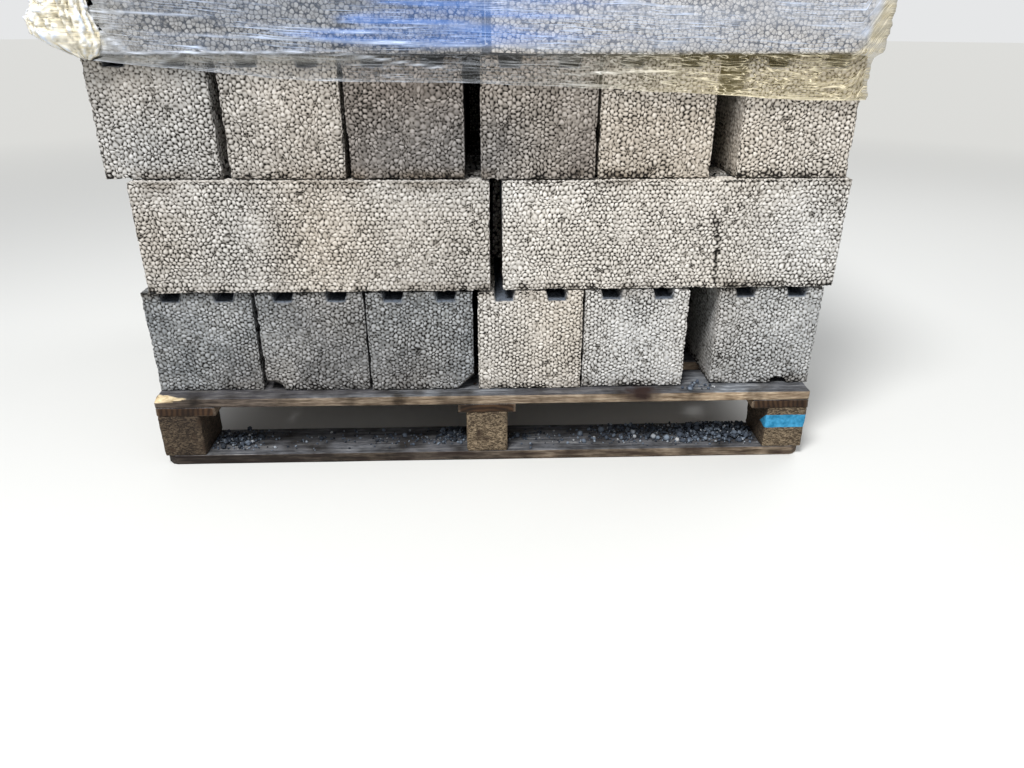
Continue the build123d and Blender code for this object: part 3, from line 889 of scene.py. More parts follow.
def spacer_surface(node, settings):
    """A pressed chipboard spacer: a rounded upright box with flakes standing out and back on its sides."""
    low, high = (np.array(corner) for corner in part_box(node))
    step = 3.2 * MM if "front" in node else 8 * MM
    points, normals, triangles = carried_box(low, high, np.eye(3), step, step, (1.5 * MM, 4 * MM))
    half = (high - low) / 2
    world = (low + high) / 2 + points
    radius = settings.spacer_edge_radius * (0.7 + 0.6 * value_noise(world, 20 * MM, 41))
    radius = np.minimum(radius, half.min())
    upright = np.abs(points[:, 2]) > half[2] - radius
    moved, direction = round_off(points, normals, radius, -half, half)
    flat = np.column_stack((moved[:, :2], points[:, 2]))
    moved = np.where(upright[:, None], flat, moved)
    flakes = value_noise(world / (1, 1, 0.45), 5.5 * MM, 42) - 0.8
    flakes += 0.6 * value_noise(world / (1, 1, 0.6), 2.6 * MM, 43)
    worn = smoothstep(0.68, 0.9, value_noise(world, 15 * MM, 44))
    side = 1 - smoothstep(0.5, 0.9, np.abs(normals[:, 2]))
    height = (settings.flake_depth * flakes - 1.4 * MM * worn) * side
    world = (low + high) / 2 + moved + direction * height[:, None]
    dampness = 0.95 if node.endswith("left") else 0.15
    patches = value_noise(world, 50 * MM, 45)
    # The right spacer's side towards the pallet's inside is darkened as painted shade, carried in the same
    # field as the damp
    inner = (direction[:, 0] < -0.6) * node.endswith("right")
    fields = {"damp_and_shade": np.clip(dampness + 0.7 * (patches - 0.5) + 0.8 * inner, 0, 1), "worn": worn}
    return world, triangles, fields


def many(template, triangles, places, turns, scales):
    """Copies of one small closed shape: each is scaled, turned and moved, and all are one mesh."""
    points = np.einsum("nij,kj->nki", turns * scales[:, None, :], template) + places[:, None, :]
    steps = len(template) * np.arange(len(places))
    return points.reshape(-1, 3), (triangles[None] + steps[:, None, None]).reshape(-1, 3)


def nail_surface(settings):
    """Nail heads: a low dome of two rings of points and a middle point, sunk a little in each board."""
    turns = np.linspace(0, 2 * pi, NAIL_SIDES, endpoint=False)
    ring = np.column_stack((np.cos(turns), np.sin(turns), np.zeros(NAIL_SIDES)))
    dome = np.concatenate(([(0, 0, -1.2)], ring - (0, 0, 1.2), ring + (0, 0, 0.1), [(0, 0, 0.28)]))
    places = []
    for board in range(1, 7):
        low, high = (np.array(corner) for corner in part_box(f"deck_board_{board}"))
        for column in ("left", "middle", "right"):
            left, right = (corner[0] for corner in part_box(f"cross_board_{column}"))
            for share_x, share_y in ((0.3, 0.52), (0.68, 0.78)):
                x = left + share_x * (right - left)
                places.append((x, low[1] + share_y * (high[1] - low[1]), high[2] - 0.4 * MM))
    places = np.array(places)
    draws = np.random.default_rng(8).random((len(places), 3))
    places[:, :2] += (draws[:, :2] - 0.5) * 9 * MM
    scales = np.tile(np.array([1, 1, 0.8]) * settings.nail_head / 2, (len(places), 1))
    turned = np.tile(np.eye(3), (len(places), 1, 1))
    return many(dome, closed_rings(2, NAIL_SIDES), places, turned, scales)


def crumb_surface(settings):
    """Loose clay crumbs: knobbly twenty-sided stones, each turned and stretched its own way.

    They lie on the front bottom board and the deck's front edge, thickest where each heap's middle is.
    """
    golden = (1 + sqrt(5)) / 2
    ends = [(0, a, b * golden) for a in (-1, 1) for b in (-1, 1)]
    stone = np.array([np.roll(end, turn) for turn in range(3) for end in ends]) / 1.9
    apart = np.linalg.norm(stone[:, None] - stone[None], axis=2)
    near = (apart > 0.1) & (apart < 1.1)
    i, j, k = np.meshgrid(*[np.arange(12)] * 3, indexing="ij")
    faces = np.argwhere(near[i, j] & near[j, k] & near[k, i] & (i < j) & (j < k))
    first, second, third = (stone[corner] for corner in faces.T)
    outward = np.einsum("ij,ij->i", np.cross(second - first, third - first), first)
    faces = np.where(outward[:, None] > 0, faces, faces[:, ::-1])

    low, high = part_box("bottom_board_front")
    deck_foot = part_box("deck_board_1")[0][2]
    draws = np.random.default_rng(12)
    places, sizes = [], []
    for count, middle, spread, board, pile in CRUMB_HEAPS:
        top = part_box(board)[1][2]
        at = draws.uniform(-1, 1, (count, 2)) * draws.random((count, 1)) ** 0.4
        size = settings.crumb_size * (0.3 + 0.5 * draws.random(count) + 1.2 * draws.random(count) ** 12)
        rise = pile * (1 - np.linalg.norm(at, axis=1).clip(0, 1)) * draws.random(count)
        places.append(np.column_stack((middle + at * spread, top + rise + 0.3 * size)))
        sizes.append(size)
    places = np.concatenate(places)
    sizes = np.concatenate(sizes)
    inside = (np.abs(places[:, 0]) < high[0] - 10 * MM) & (places[:, 1] > low[1] + 3 * MM)
    inside &= (places[:, 1] < high[1] - 2 * MM) | (places[:, 2] > deck_foot)
    for column in ("left", "middle", "right"):
        spacer_low, spacer_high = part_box(f"spacer_front_{column}")
        inside &= (
            (places[:, 0] < spacer_low[0] - sizes) | (places[:, 0] > spacer_high[0] + sizes)
            | (places[:, 2] > deck_foot)
        )
    places, sizes = places[inside], sizes[inside]
    scales = 0.5 * sizes[:, None] * (0.7 + 0.6 * draws.random((len(sizes), 3)))
    turns = np.linalg.qr(draws.normal(size=(len(sizes), 3, 3)))[0]
    turns *= np.sign(np.linalg.det(turns))[:, None, None]
    points, triangles = many(stone, faces, places, turns, scales)
    return points, triangles, {"tone": np.repeat(draws.random(len(sizes)), len(stone))}


# Stretch film

def ridges(points, cell, seed):
    """Folds: 1 where the noise passes its middle value, falling to 0 where it is lowest or highest."""
    return 1 - np.abs(2 * value_noise(points, cell, seed) - 1)


def film_ring():
    """One turn of film, counter-clockwise from the front's left end, and the distance gone round in metres.

    A point is a share along the load's length, a share along its depth and a direction outwards: the four
    sides are even steps with one direction, and the corners are quarter turns.
    """
    shares, headings = [], []
    corners = (0, 0), (1, 0), (1, 1), (0, 1)
    steps = (1, 0), (0, 1), (-1, 0), (0, -1)
    for number, ((x, y), step, count) in enumerate(zip(corners, steps, FILM_SIDE_POINTS)):
        along = np.linspace(0, 1, count + 1)[:, None]
        shares.append((x, y) + along * step)
        headings.append(np.full(count + 1, (number - 1) * pi / 2))
        shares.append(np.tile((x + step[0], y + step[1]), (FILM_CORNER_POINTS, 1)))
        turn = np.linspace(0, pi / 2, FILM_CORNER_POINTS + 2)[1:-1]
        headings.append((number - 1) * pi / 2 + turn)
    shares = np.concatenate(shares)
    headings = np.concatenate(headings)
    low, high = (np.array(corner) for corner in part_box("stretch_film"))
    walked = np.linalg.norm(np.diff(shares * (high - low)[:2], axis=0), axis=1)
    return shares, np.column_stack((np.cos(headings), np.sin(headings))), np.append(0, np.cumsum(walked))


def near_line(across, up, line, width):
    """How close sheet points are to a slightly wandering straight line: 1 on it, 0 beyond its width."""
    start, end = np.array(line[:2]) * MM, np.array(line[2:4]) * MM
    run = end - start
    share = ((across - start[0]) * run[0] + (up - start[1]) * run[1]) / (run @ run)
    held = np.clip(share, 0, 1)
    away = np.hypot(across - start[0] - held * run[0], up - start[1] - held * run[1])
    fade = np.sqrt(np.clip(np.sin(np.clip(share, 0.02, 0.98) * pi), 0, 1))
    return fade * np.clip(1 - away / width, 0, 1)


def film_surface(settings):
    """The film: rings of points from its slanting lower edge up to the top edge, then in over the top.

    At each height the film is pulled straight round the furthest blocks of that course, so its sides move in
    below the joint. It stands off by its clearance, by ridges of noise that are drawn out sideways, and by
    the slack at the right front corner.
    """
    shares, outward, gone = film_ring()
    third, fourth = (
        np.array([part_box(node) for node in sorted(frame["nodes"]) if node.startswith(course)])
        for course in ("course_3", "course_4")
    )
    low3, high3 = third[:, 0].min(axis=0), third[:, 1].max(axis=0)
    low4, high4 = fourth[:, 0].min(axis=0), fourth[:, 1].max(axis=0)
    foot, top = low4[2], high4[2] + settings.film_clearance * 0.7
    near_x = low3[0] + shares[:, 0] * (high3[0] - low3[0])

    lower = np.interp(near_x / MM, *zip(*FILM_EDGE)) * MM
    lower = lower + 4 * MM * (value_noise(np.column_stack((gone, 0 * gone, 0 * gone)), 55 * MM, 51) - 0.5)
    steps = np.concatenate(([0, 0.005, 0.012, 0.022], np.linspace(0.035, 1, settings.film_rows)))
    inward = np.array(FILM_LIP_PLACES) * MM
    z = lower + steps[:, None] * (top - lower)
    wall = len(steps)
    z = np.vstack((z, np.full((len(inward), len(gone)), top)))
    inset = np.concatenate((np.zeros(wall), inward))[:, None]

    upper = smoothstep(foot - 20 * MM, foot + 1 * MM, z)
    left = low3[0] + upper * (low4[0] - low3[0])
    back = high3[1] + upper * (high4[1] - high3[1])
    taut = (TAUT_ENDS[0], low3[1], low3[1], TAUT_ENDS[1])
    taut = np.interp(near_x, (low3[0], *TAUT_PLACES, high3[0]), taut)
    front = taut + upper * (low4[1] - taut)
    depth = shares[:, 1] * (high4[1] - low4[1])
    standing_off = smoothstep(foot - 6 * MM, foot + 8 * MM, z) * (0.35 + 0.65 * np.exp(-depth / (160 * MM)))
    loose = value_noise(np.column_stack((z.ravel(), np.tile(depth, len(z)), 0 * z.ravel())), 70 * MM, 52)
    right = high3[0] + upper * (high4[0] - high3[0])
    right = right + settings.film_slack * standing_off * (0.75 + 0.4 * loose.reshape(z.shape))
    radius = FILM_CORNER_RADIUS
    x = left + inset + radius + shares[:, 0] * (right - left - 2 * inset - 2 * radius)
    y = front + inset + radius + shares[:, 1] * (back - front - 2 * inset - 2 * radius)

    flat = np.column_stack((np.tile(gone, len(z)), (z - lower + inset).ravel(), 0 * z.ravel()))
    long_folds = ridges(flat / (20, 1, 1), 11 * MM, 53)
    short_folds = ridges(flat / (9, 1, 1), 5 * MM, 54)
    crumple = ridges(flat / (1.6, 1, 1), 13 * MM, 55)
    x_now, z_now = np.broadcast_to(x, z.shape).ravel(), z.ravel()
    depth_now = np.tile(depth, len(z))
    in_front = np.tile((shares[:, 1] == 0) & (outward[:, 1] < -0.5), len(z))
    pulls = np.max([
        strength * near_line(x_now, z_now, line, settings.pull_width) for *line, strength in FILM_PULLS
    ], axis=0) * in_front
    at_corner = np.exp(-np.hypot(x_now - high4[0], 0.6 * (y.ravel() - low4[1])) / (90 * MM))
    flap = (1 - smoothstep(5 * MM, 40 * MM, flat[:, 1])) * value_noise(flat / (3, 1, 1), 18 * MM, 56)
    folds = 0.55 * long_folds ** 3 + 0.35 * short_folds ** 2 + 0.8 * pulls + 3.2 * at_corner * crumple
    height = settings.film_clearance + settings.fold_height * (folds + 2.2 * flap)
    over_top = np.repeat(np.arange(len(z)) >= wall, len(gone))
    side = np.tile(outward, (len(z), 1)) * (radius + height * ~over_top)[:, None]
    points = np.column_stack((
        x.ravel() + side[:, 0], y.ravel() + side[:, 1], z_now + height * 0.4 * over_top
    ))

    # Colour fields. The streaky noise frays the edges of the painted reflections; in the material the streaks
    # are painted highlights.
    sheen_streaks = value_noise(flat / (26, 1, 1), 7 * MM, 57) - 0.5
    bands = value_noise(flat / (34, 1, 1), 5 * MM, 58)
    over_joint = smoothstep(foot - 2 * MM, foot + 10 * MM, z_now)
    # blue: a painted sky reflection, a streaky patch in the front above the joint
    blue = smoothstep(0, 70 * MM, x_now + 270 * MM + 1.2 * (foot + 30 * MM - z_now) + 260 * MM * sheen_streaks)
    blue *= 1 - smoothstep(-30 * MM, 260 * MM, x_now + 160 * MM * sheen_streaks)
    blue *= smoothstep(foot + 6 * MM, foot + 22 * MM, z_now + 14 * MM * sheen_streaks)
    blue *= (1 - smoothstep(0.75, 1.0, (z_now - foot) / (top - foot))) * np.clip(0.35 + 1.2 * bands, 0, 1)
    # pale: a veil that is part milky film and part painted reflection, growing to the right
    pale = smoothstep(-120 * MM, 90 * MM, x_now + 120 * MM * sheen_streaks) * over_joint
    # gold: a yellowish tint below the joint, growing to the right
    gold = (1 - over_joint) * (0.3 + 0.7 * smoothstep(-50 * MM, 420 * MM, x_now))
    gold = gold * np.exp(-depth_now / (300 * MM))
    # Near the gathered corner the film gets whiter and golder, partly for its many layers and partly as
    # painted highlight
    at_bunch = np.exp(-np.hypot(x_now - low4[0], 0.5 * (z_now - foot - 10 * MM)) / (55 * MM))
    at_bunch = at_bunch * in_front * over_joint
    worn_rim = value_noise(flat / (14, 1, 1), 22 * MM, 59)
    # A painted highlight along the film's lower edge, and along its top edge
    rim = np.exp(-flat[:, 1] / (2.6 * MM)) * (0.5 + 0.5 * smoothstep(0.4, 0.6, worn_rim))
    edge = rim + 0.6 * np.exp(-np.abs(z_now - top) / (1.5 * MM)) * ~over_top
    cover = 0.12 + 0.12 * smoothstep(0, 450 * MM, x_now) * (1 - over_joint)
    # Past the flare the film lies double: more opaque, with painted golden highlights in its crumples
    past = x_now - FILM_FLARE_PLACE - 0.32 * (z_now - 710 * MM)
    beyond = over_joint * smoothstep(0, 7 * MM, past) * in_front
    # The film is made more opaque where the painted reflection lies, so that it shows
    cover = cover + over_joint * (0.13 + 0.05 * pale + 0.17 * blue + 0.3 * beyond)
    cover = cover * (0.7 + 0.6 * value_noise(flat / (12, 1, 1), 16 * MM, 60))
    folded_band = np.exp(-((z_now - FILM_BAND_HEIGHT) / FILM_BAND_WIDTH) ** 2)
    folded_band = folded_band * smoothstep(-100 * MM, -260 * MM, x_now) * in_front
    # Painted glints on crumple crests at the right corner and by the gathered corner
    glint = 0.25 * smoothstep(0.8, 1.0, crumple) * at_corner + 0.5 * at_bunch * smoothstep(0.6, 1.0, crumple)
    fields = {
        # The first field is painted highlight along the pull lines, on the film's edges and in the glints
        "pull_highlight": np.clip(pulls + 0.8 * edge + glint, 0, 1),
        "blue": blue * in_front,
        "pale": np.where(in_front, pale, 0.6),
        # Gold near the right corner, by the gathered corner and on the double film is painted golden
        # highlight
        "gold": np.clip(gold + 0.3 * at_corner * bands + 0.6 * at_bunch + 0.7 * beyond, 0, 1),
        "white": np.clip(0.35 * at_bunch + 0.6 * folded_band, 0, 1),
        "cover": np.clip(cover + 0.3 * at_bunch + 0.24 * folded_band, 0, 1),
    }
    triangles = ring_strips(np.arange(len(points)).reshape(z.shape))
    lean = 1.5 * np.clip(x_now - FILM_FLARE_PLACE, 0, None)
    return points, triangles, fields, flat[:, :2] - np.outer(lean, (0, 1))


def gathered_surface(settings):
    """The bunched film at the left front corner: a flat closed sack of pleats that meet at its foot.

    Each ring is an oval whose four sides follow outlines drawn against height, sheared so that the foot
    slants. Pleats are ridges of noise along the ring's angle, drawn out upwards.
    """
    block_left, block_front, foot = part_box("course_4_front_row_left")[0]
    rows, around = SACK_POINTS
    up = np.linspace(0, 1, rows)
    left, right, front, back = (
        np.interp(up, *zip(*outline))[:, None] * MM
        for outline in (SACK_LEFT, SACK_RIGHT, SACK_FRONT, SACK_BACK)
    )
    turn = np.linspace(0, 2 * pi, around, endpoint=False)
    across, deep = np.cos(turn), np.sin(turn)
    across = np.sign(across) * np.abs(across) ** 0.8
    height = np.broadcast_to(up[:, None], (rows, around))
    circle = np.tile(turn, (rows, 1))
    swirl = np.column_stack((
        2.2 * np.cos(circle).ravel() + 1.2 * height.ravel(),
        2.2 * np.sin(circle).ravel(),
        0.9 * height.ravel(),
    ))
    pleats = ridges(swirl, 0.42, 61)
    small = ridges(swirl * (1, 1, 2.4), 0.2, 62)
    fine = ridges(swirl * (1, 1, 3), 0.09, 63)
    relief = (pleats - 0.5) + 0.55 * (small - 0.5) + 0.32 * (fine - 0.5)
    relief = settings.pleat_depth * relief.reshape(height.shape)
    relief = relief * np.sin(np.clip(height, 0.03, 0.97) * pi) ** 0.4
    x = (left + right) / 2 + across * ((right - left) / 2 + 0.8 * relief)
    y = (front + back) / 2 + deep * ((back - front) / 2 + relief)
    sheared = 0.27 * (x + 605 * MM) * (1 - smoothstep(0.1, 0.5, height))
    z = foot - 5 * MM + SACK_HEIGHT * height - sheared
    hugging = block_front - settings.film_clearance - 0.6 * MM
    y = np.where(x > block_left - 2 * MM, np.minimum(y, hugging), y)
    ring = np.column_stack((x.ravel(), y.ravel(), z.ravel()))
    ends = np.array([ring[:around].mean(axis=0), ring[-around:].mean(axis=0)])
    points = np.concatenate((ends[:1], ring, ends[1:]))
    # The pleats' crests get painted highlights and more cover, and their valleys get painted golden shade
    crest = smoothstep(0.6, 0.95, 0.4 * pleats + 0.35 * small + 0.25 * fine)
    thin = value_noise(ring, 22 * MM, 64)
    fields = {
        "pull_highlight": np.pad(crest, 1),
        "white": np.pad(np.clip(0.3 + 0.7 * crest + 0.4 * thin, 0, 1), 1),
        "gold": np.pad(np.clip(1.2 - crest, 0, 1), 1),
        "cover": np.pad(np.clip(0.58 + 0.3 * thin + 0.25 * crest, 0, 1), 1),
    }
    uv = np.pad(np.column_stack((circle.ravel() * 30 * MM, z.ravel())), ((1, 1), (0, 0)))
    return points, closed_rings(rows, around), fields, uv


# Materials

def add_node(tree, kind, inputs=(), stops=(), **settings):
    """Add one node to a tree, with its settings by name and its inputs by name or in their order.

    An input is a value, a colour written as hex, an output to link, or a node, which is linked by the first
    output that it has in use. Stops are the (position, colour) pairs of a colour ramp.
    """
    node = tree.nodes.new(kind)
    for key, value in settings.items():
        setattr(node, key, value)
    for key, value in inputs.items() if isinstance(inputs, dict) else enumerate(inputs):
        if isinstance(value, bpy.types.Node):
            value = next(output for output in value.outputs if output.enabled)
        if isinstance(value, bpy.types.NodeSocket):
            tree.links.new(value, node.inputs[key])
        else:
            node.inputs[key].default_value = linear(value) if isinstance(value, str) else value
    if stops:
        stops = list(stops)
        elements = node.color_ramp.elements
        while len(elements) < len(stops):
            elements.new(0.5)
        for element, (position, colour) in zip(elements, stops):
            element.position = position
            element.color = linear(colour)
    return node


def new_material(name, titles=(), coordinates="Object"):
    """A material with an empty node tree, the place on the piece and the piece's fields by their titles."""
    material = bpy.data.materials.new(name)
    material.use_nodes = True
    tree = material.node_tree
    tree.nodes.clear()
    place = add_node(tree, "ShaderNodeTexCoord").outputs[coordinates]
    readers = {title: add_node(tree, "ShaderNodeAttribute", attribute_name=title) for title in titles}
    return material, tree, place, {title: reader.outputs["Fac"] for title, reader in readers.items()}


def finish_material(material, roughness, specular, inputs):
    """Give the material its Principled shader with these inputs, and its output."""
    values = {"Roughness": roughness, "Specular IOR Level": specular, **inputs}
    shader = add_node(material.node_tree, "ShaderNodeBsdfPrincipled", values)
    add_node(material.node_tree, "ShaderNodeOutputMaterial", (shader,))
    return material


def make_concrete(name):
    """Expanded clay concrete, pressed damp in a mould: matt round pellets under a thin grey cement skin.

    The eye sees pale pellets with black pores between them, each a little different, rough to about half
    a millimetre, darker and cooler where the block is damp. The black in the pores and seams and the grey
    towards each pellet's edge are painted shade. Faces that are plain in the mesh have their pellets drawn
    by cells of about the same size, and the grooves get painted shade: slate grey, with fainter pores.
    """
    titles = ("plain", "tone", "pit", "warmth", "damp_and_shade", "groove_shade", "soil")
    material, tree, place, field = new_material(name, titles)
    grain = add_node(tree, "ShaderNodeTexNoise", {"Vector": place, "Scale": 1 / CEMENT_GRIT, "Detail": 3.0})
    pellet = {"Vector": place, "Scale": 1 / DRAWN_PELLET, "Randomness": 0.9}
    cells = add_node(tree, "ShaderNodeTexVoronoi", pellet)
    edges = add_node(tree, "ShaderNodeTexVoronoi", pellet, feature="DISTANCE_TO_EDGE")
    cell_tone = add_node(tree, "ShaderNodeSeparateColor", (cells.outputs["Color"],))
    tone = add_node(tree, "ShaderNodeMix", {0: field["plain"], 2: field["tone"], 3: cell_tone})
    tone = add_node(tree, "ShaderNodeMath", (tone, grain), operation="ADD")
    tone = add_node(tree, "ShaderNodeMath", (tone, 0.5), operation="MULTIPLY")
    # Drawn pellets: painted shade in the seams and at the corners between cells; the same hollow drives the
    # bump
    seam = add_node(tree, "ShaderNodeMapRange", (edges, 0.02, 0.24, 0.31, 0.0))
    pore = add_node(tree, "ShaderNodeMapRange", (cells, 0.55, 0.8, 0.0, 0.42))
    hollow = add_node(tree, "ShaderNodeMath", (seam, pore), operation="ADD", use_clamp=True)
    pit = add_node(tree, "ShaderNodeMix", {0: field["plain"], 2: field["pit"], 3: hollow})
    # In the grooves the pores' painted shade fades, while the grooves' own painted shade darkens them below
    groove_shade_share = add_node(tree, "ShaderNodeMath", (field["groove_shade"], 0.7), operation="MULTIPLY")
    pit = add_node(tree, "ShaderNodeMix", {0: groove_shade_share, 2: pit, 3: 0.08})

    grey, warm, cool_wet, warm_wet = (
        add_node(tree, "ShaderNodeValToRGB", (tone,), zip((0.2, 0.5, 0.8), shades)) for shades in (
            ("#CFD0D1", "#E4E5E5", "#F9F9F9"), ("#CDC3B5", "#E5DBCD", "#FAF3E8"),
            ("#6C7073", "#878B8F", "#A8ADB3"), ("#6B635C", "#898079", "#ADA39B"),
        )
    )
    dry = add_node(tree, "ShaderNodeMix", {0: field["warmth"], 6: grey, 7: warm}, data_type="RGBA")
    wet_and_shade = add_node(tree, "ShaderNodeMix", {0: field["warmth"], 6: cool_wet, 7: warm_wet}, data_type="RGBA")
    colour = dry
    # Damp, then painted groove shade in slate grey, then brown soil
    for title, over in (("damp_and_shade", wet_and_shade), ("groove_shade", "#616A77"), ("soil", "#6E5F4A")):
        colour = add_node(tree, "ShaderNodeMix", {0: field[title], 6: colour, 7: over}, data_type="RGBA")
    # Painted shade: white where there is none, near black deep in a pore
    pore_shade = add_node(tree, "ShaderNodeValToRGB", (pit,), (
        (0.0, "#FFFFFF"), (0.13, "#ECEAE7"), (0.3, "#AEABA6"), (0.48, "#5C5956"), (0.72, "#1B1917"),
    ))
    colour = add_node(
        tree, "ShaderNodeMix", {0: 1.0, 6: colour, 7: pore_shade}, data_type="RGBA", blend_type="MULTIPLY"
    )
    drawn = add_node(tree, "ShaderNodeMath", (hollow, field["plain"]), operation="MULTIPLY")
    drawn = add_node(tree, "ShaderNodeMath", (drawn, -5.0, grain), operation="MULTIPLY_ADD")
    bump = add_node(tree, "ShaderNodeBump", {"Height": drawn, "Strength": 0.6, "Distance": 0.5 * MM})
    return finish_material(material, 0.93, 0.25, {"Base Color": colour, "Normal": bump})


def make_timber(name, lengthwise):
    """Sawn pine left outdoors: grey and silky on top, tan to brown on the sawn edges, dark where wet.

    The eye sees growth bands about 4 mm apart that run along the board, fine fibres between them, and
    paler fresh wood where a piece has split off. The bottom boards are darker with painted shade, on the
    front one's top and on their sides towards the left.
    """
    titles = ("weather", "damp_and_shade", "end", "fresh", "torn", "grime")
    material, tree, place, field = new_material(name, titles)
    stretch = np.ones(3)
    stretch[lengthwise] = GRAIN_STRETCH
    bands, fibres = (
        add_node(tree, "ShaderNodeTexNoise", {
            "Vector": add_node(tree, "ShaderNodeMapping", {"Vector": place, "Scale": 1 / (width * stretch)}),
            "Scale": 1.0, "Detail": 3.0,
        }) for width in (GROWTH_BAND, WOOD_FIBRE)
    )
    grain = add_node(tree, "ShaderNodeMath", (bands, fibres), operation="ADD")
    grain = add_node(tree, "ShaderNodeMath", (grain, 0.7, -0.2), operation="MULTIPLY_ADD")
    top, edge, wet_and_shaded_top, wet_edge = (
        add_node(tree, "ShaderNodeValToRGB", (grain,), zip((0.3, 0.5, 0.7), shades)) for shades in (
            ("#3A3E43", "#7F848A", "#BDC1C6"), ("#6E5A42", "#B39C81", "#DECBAF"),
            ("#2C2B2E", "#4C4B4F", "#706E6C"), ("#1E1815", "#544A42", "#7C7065"),
        )
    )
    split = ((0.3, "#A98A5E"), (0.5, "#E3CFA6"), (0.7, "#F4E6C6"))
    split = add_node(tree, "ShaderNodeValToRGB", (fibres,), split)
    rings = add_node(
        tree, "ShaderNodeTexWave", {"Vector": place, "Scale": 34.0, "Distortion": 3.0, "Detail": 2.0},
        wave_type="RINGS", rings_direction="XY"[lengthwise],
    )
    sawn = add_node(tree, "ShaderNodeValToRGB", (rings.outputs["Fac"],), ((0.1, "#2A1A0D"), (0.9, "#473220")))
    blots = add_node(tree, "ShaderNodeTexNoise", {"Vector": place, "Scale": 22.0, "Detail": 4.0})
    dirt = add_node(tree, "ShaderNodeValToRGB", (blots,), ((0.4, "#FFFFFF"), (0.72, "#7A736B")))
    wet_and_shade = add_node(tree, "ShaderNodeMix", {0: field["weather"], 6: wet_edge, 7: wet_and_shaded_top}, data_type="RGBA")
    wood = edge
    for share, over, blend in (
        (field["weather"], top, "MIX"),
        # This field also carries painted shade on the front bottom board's top
        (field["damp_and_shade"], wet_and_shade, "MIX"),
        (field["end"], sawn, "MIX"),
        (field["fresh"], split, "MIX"),
        (1.0, dirt, "MULTIPLY"),
        (field["torn"], "#271712", "MIX"),
        # Painted shade on the bottom boards' sides
        (field["grime"], "#A2A09E", "MULTIPLY"),
    ):
        layer = {0: share, 6: wood, 7: over}
        wood = add_node(tree, "ShaderNodeMix", layer, data_type="RGBA", blend_type=blend)
    bump = add_node(tree, "ShaderNodeBump", {"Height": grain, "Strength": 0.9, "Distance": 0.8 * MM})
    return finish_material(material, 0.82, 0.3, {"Base Color": wood, "Normal": bump})


def make_chipboard(name, band=None):
    """Wood chips pressed with glue: brown flakes a few millimetres across, lying flat, rough and open.

    The eye sees mixed tan and dark brown flecks with small dark gaps, darker all over where wet, and darker
    with painted shade on the right spacer's inner side. With settings for a band it is painted.
    """
    material, tree, place, field = new_material(name, ("damp_and_shade", "worn"))
    squash = add_node(tree, "ShaderNodeMapping", {"Vector": place, "Scale": (1.0, 1.0, 1.9)})
    flake = {"Vector": squash, "Scale": 1 / WOOD_FLAKE, "Randomness": 1.0}
    flakes = add_node(tree, "ShaderNodeTexVoronoi", flake)
    flake_tone = add_node(tree, "ShaderNodeSeparateColor", (flakes.outputs["Color"],))
    grit = add_node(tree, "ShaderNodeTexNoise", {"Vector": squash, "Scale": 1 / FLAKE_GRIT, "Detail": 3.0})
    tone = add_node(tree, "ShaderNodeMath", (flake_tone, grit), operation="ADD")
    tone = add_node(tree, "ShaderNodeMath", (tone, 0.5), operation="MULTIPLY")
    dry, wet_and_shade = (
        add_node(tree, "ShaderNodeValToRGB", (tone,), zip((0.2, 0.5, 0.8), shades)) for shades in (
            ("#291F17", "#665846", "#A39177"), ("#17110D", "#332A22", "#584B3D"),
        )
    )
    wood = add_node(tree, "ShaderNodeMix", {0: field["damp_and_shade"], 6: dry, 7: wet_and_shade}, data_type="RGBA")
    wood = add_node(tree, "ShaderNodeMix", {0: field["worn"], 6: wood, 7: "#3A2E24"}, data_type="RGBA")
    if band:
        wood = paint_band(tree, place, wood, band)
    bump = add_node(tree, "ShaderNodeBump", {"Height": tone, "Strength": 0.8, "Distance": 1.0 * MM})
    return finish_material(material, 0.88, 0.25, {"Base Color": wood, "Normal": bump})


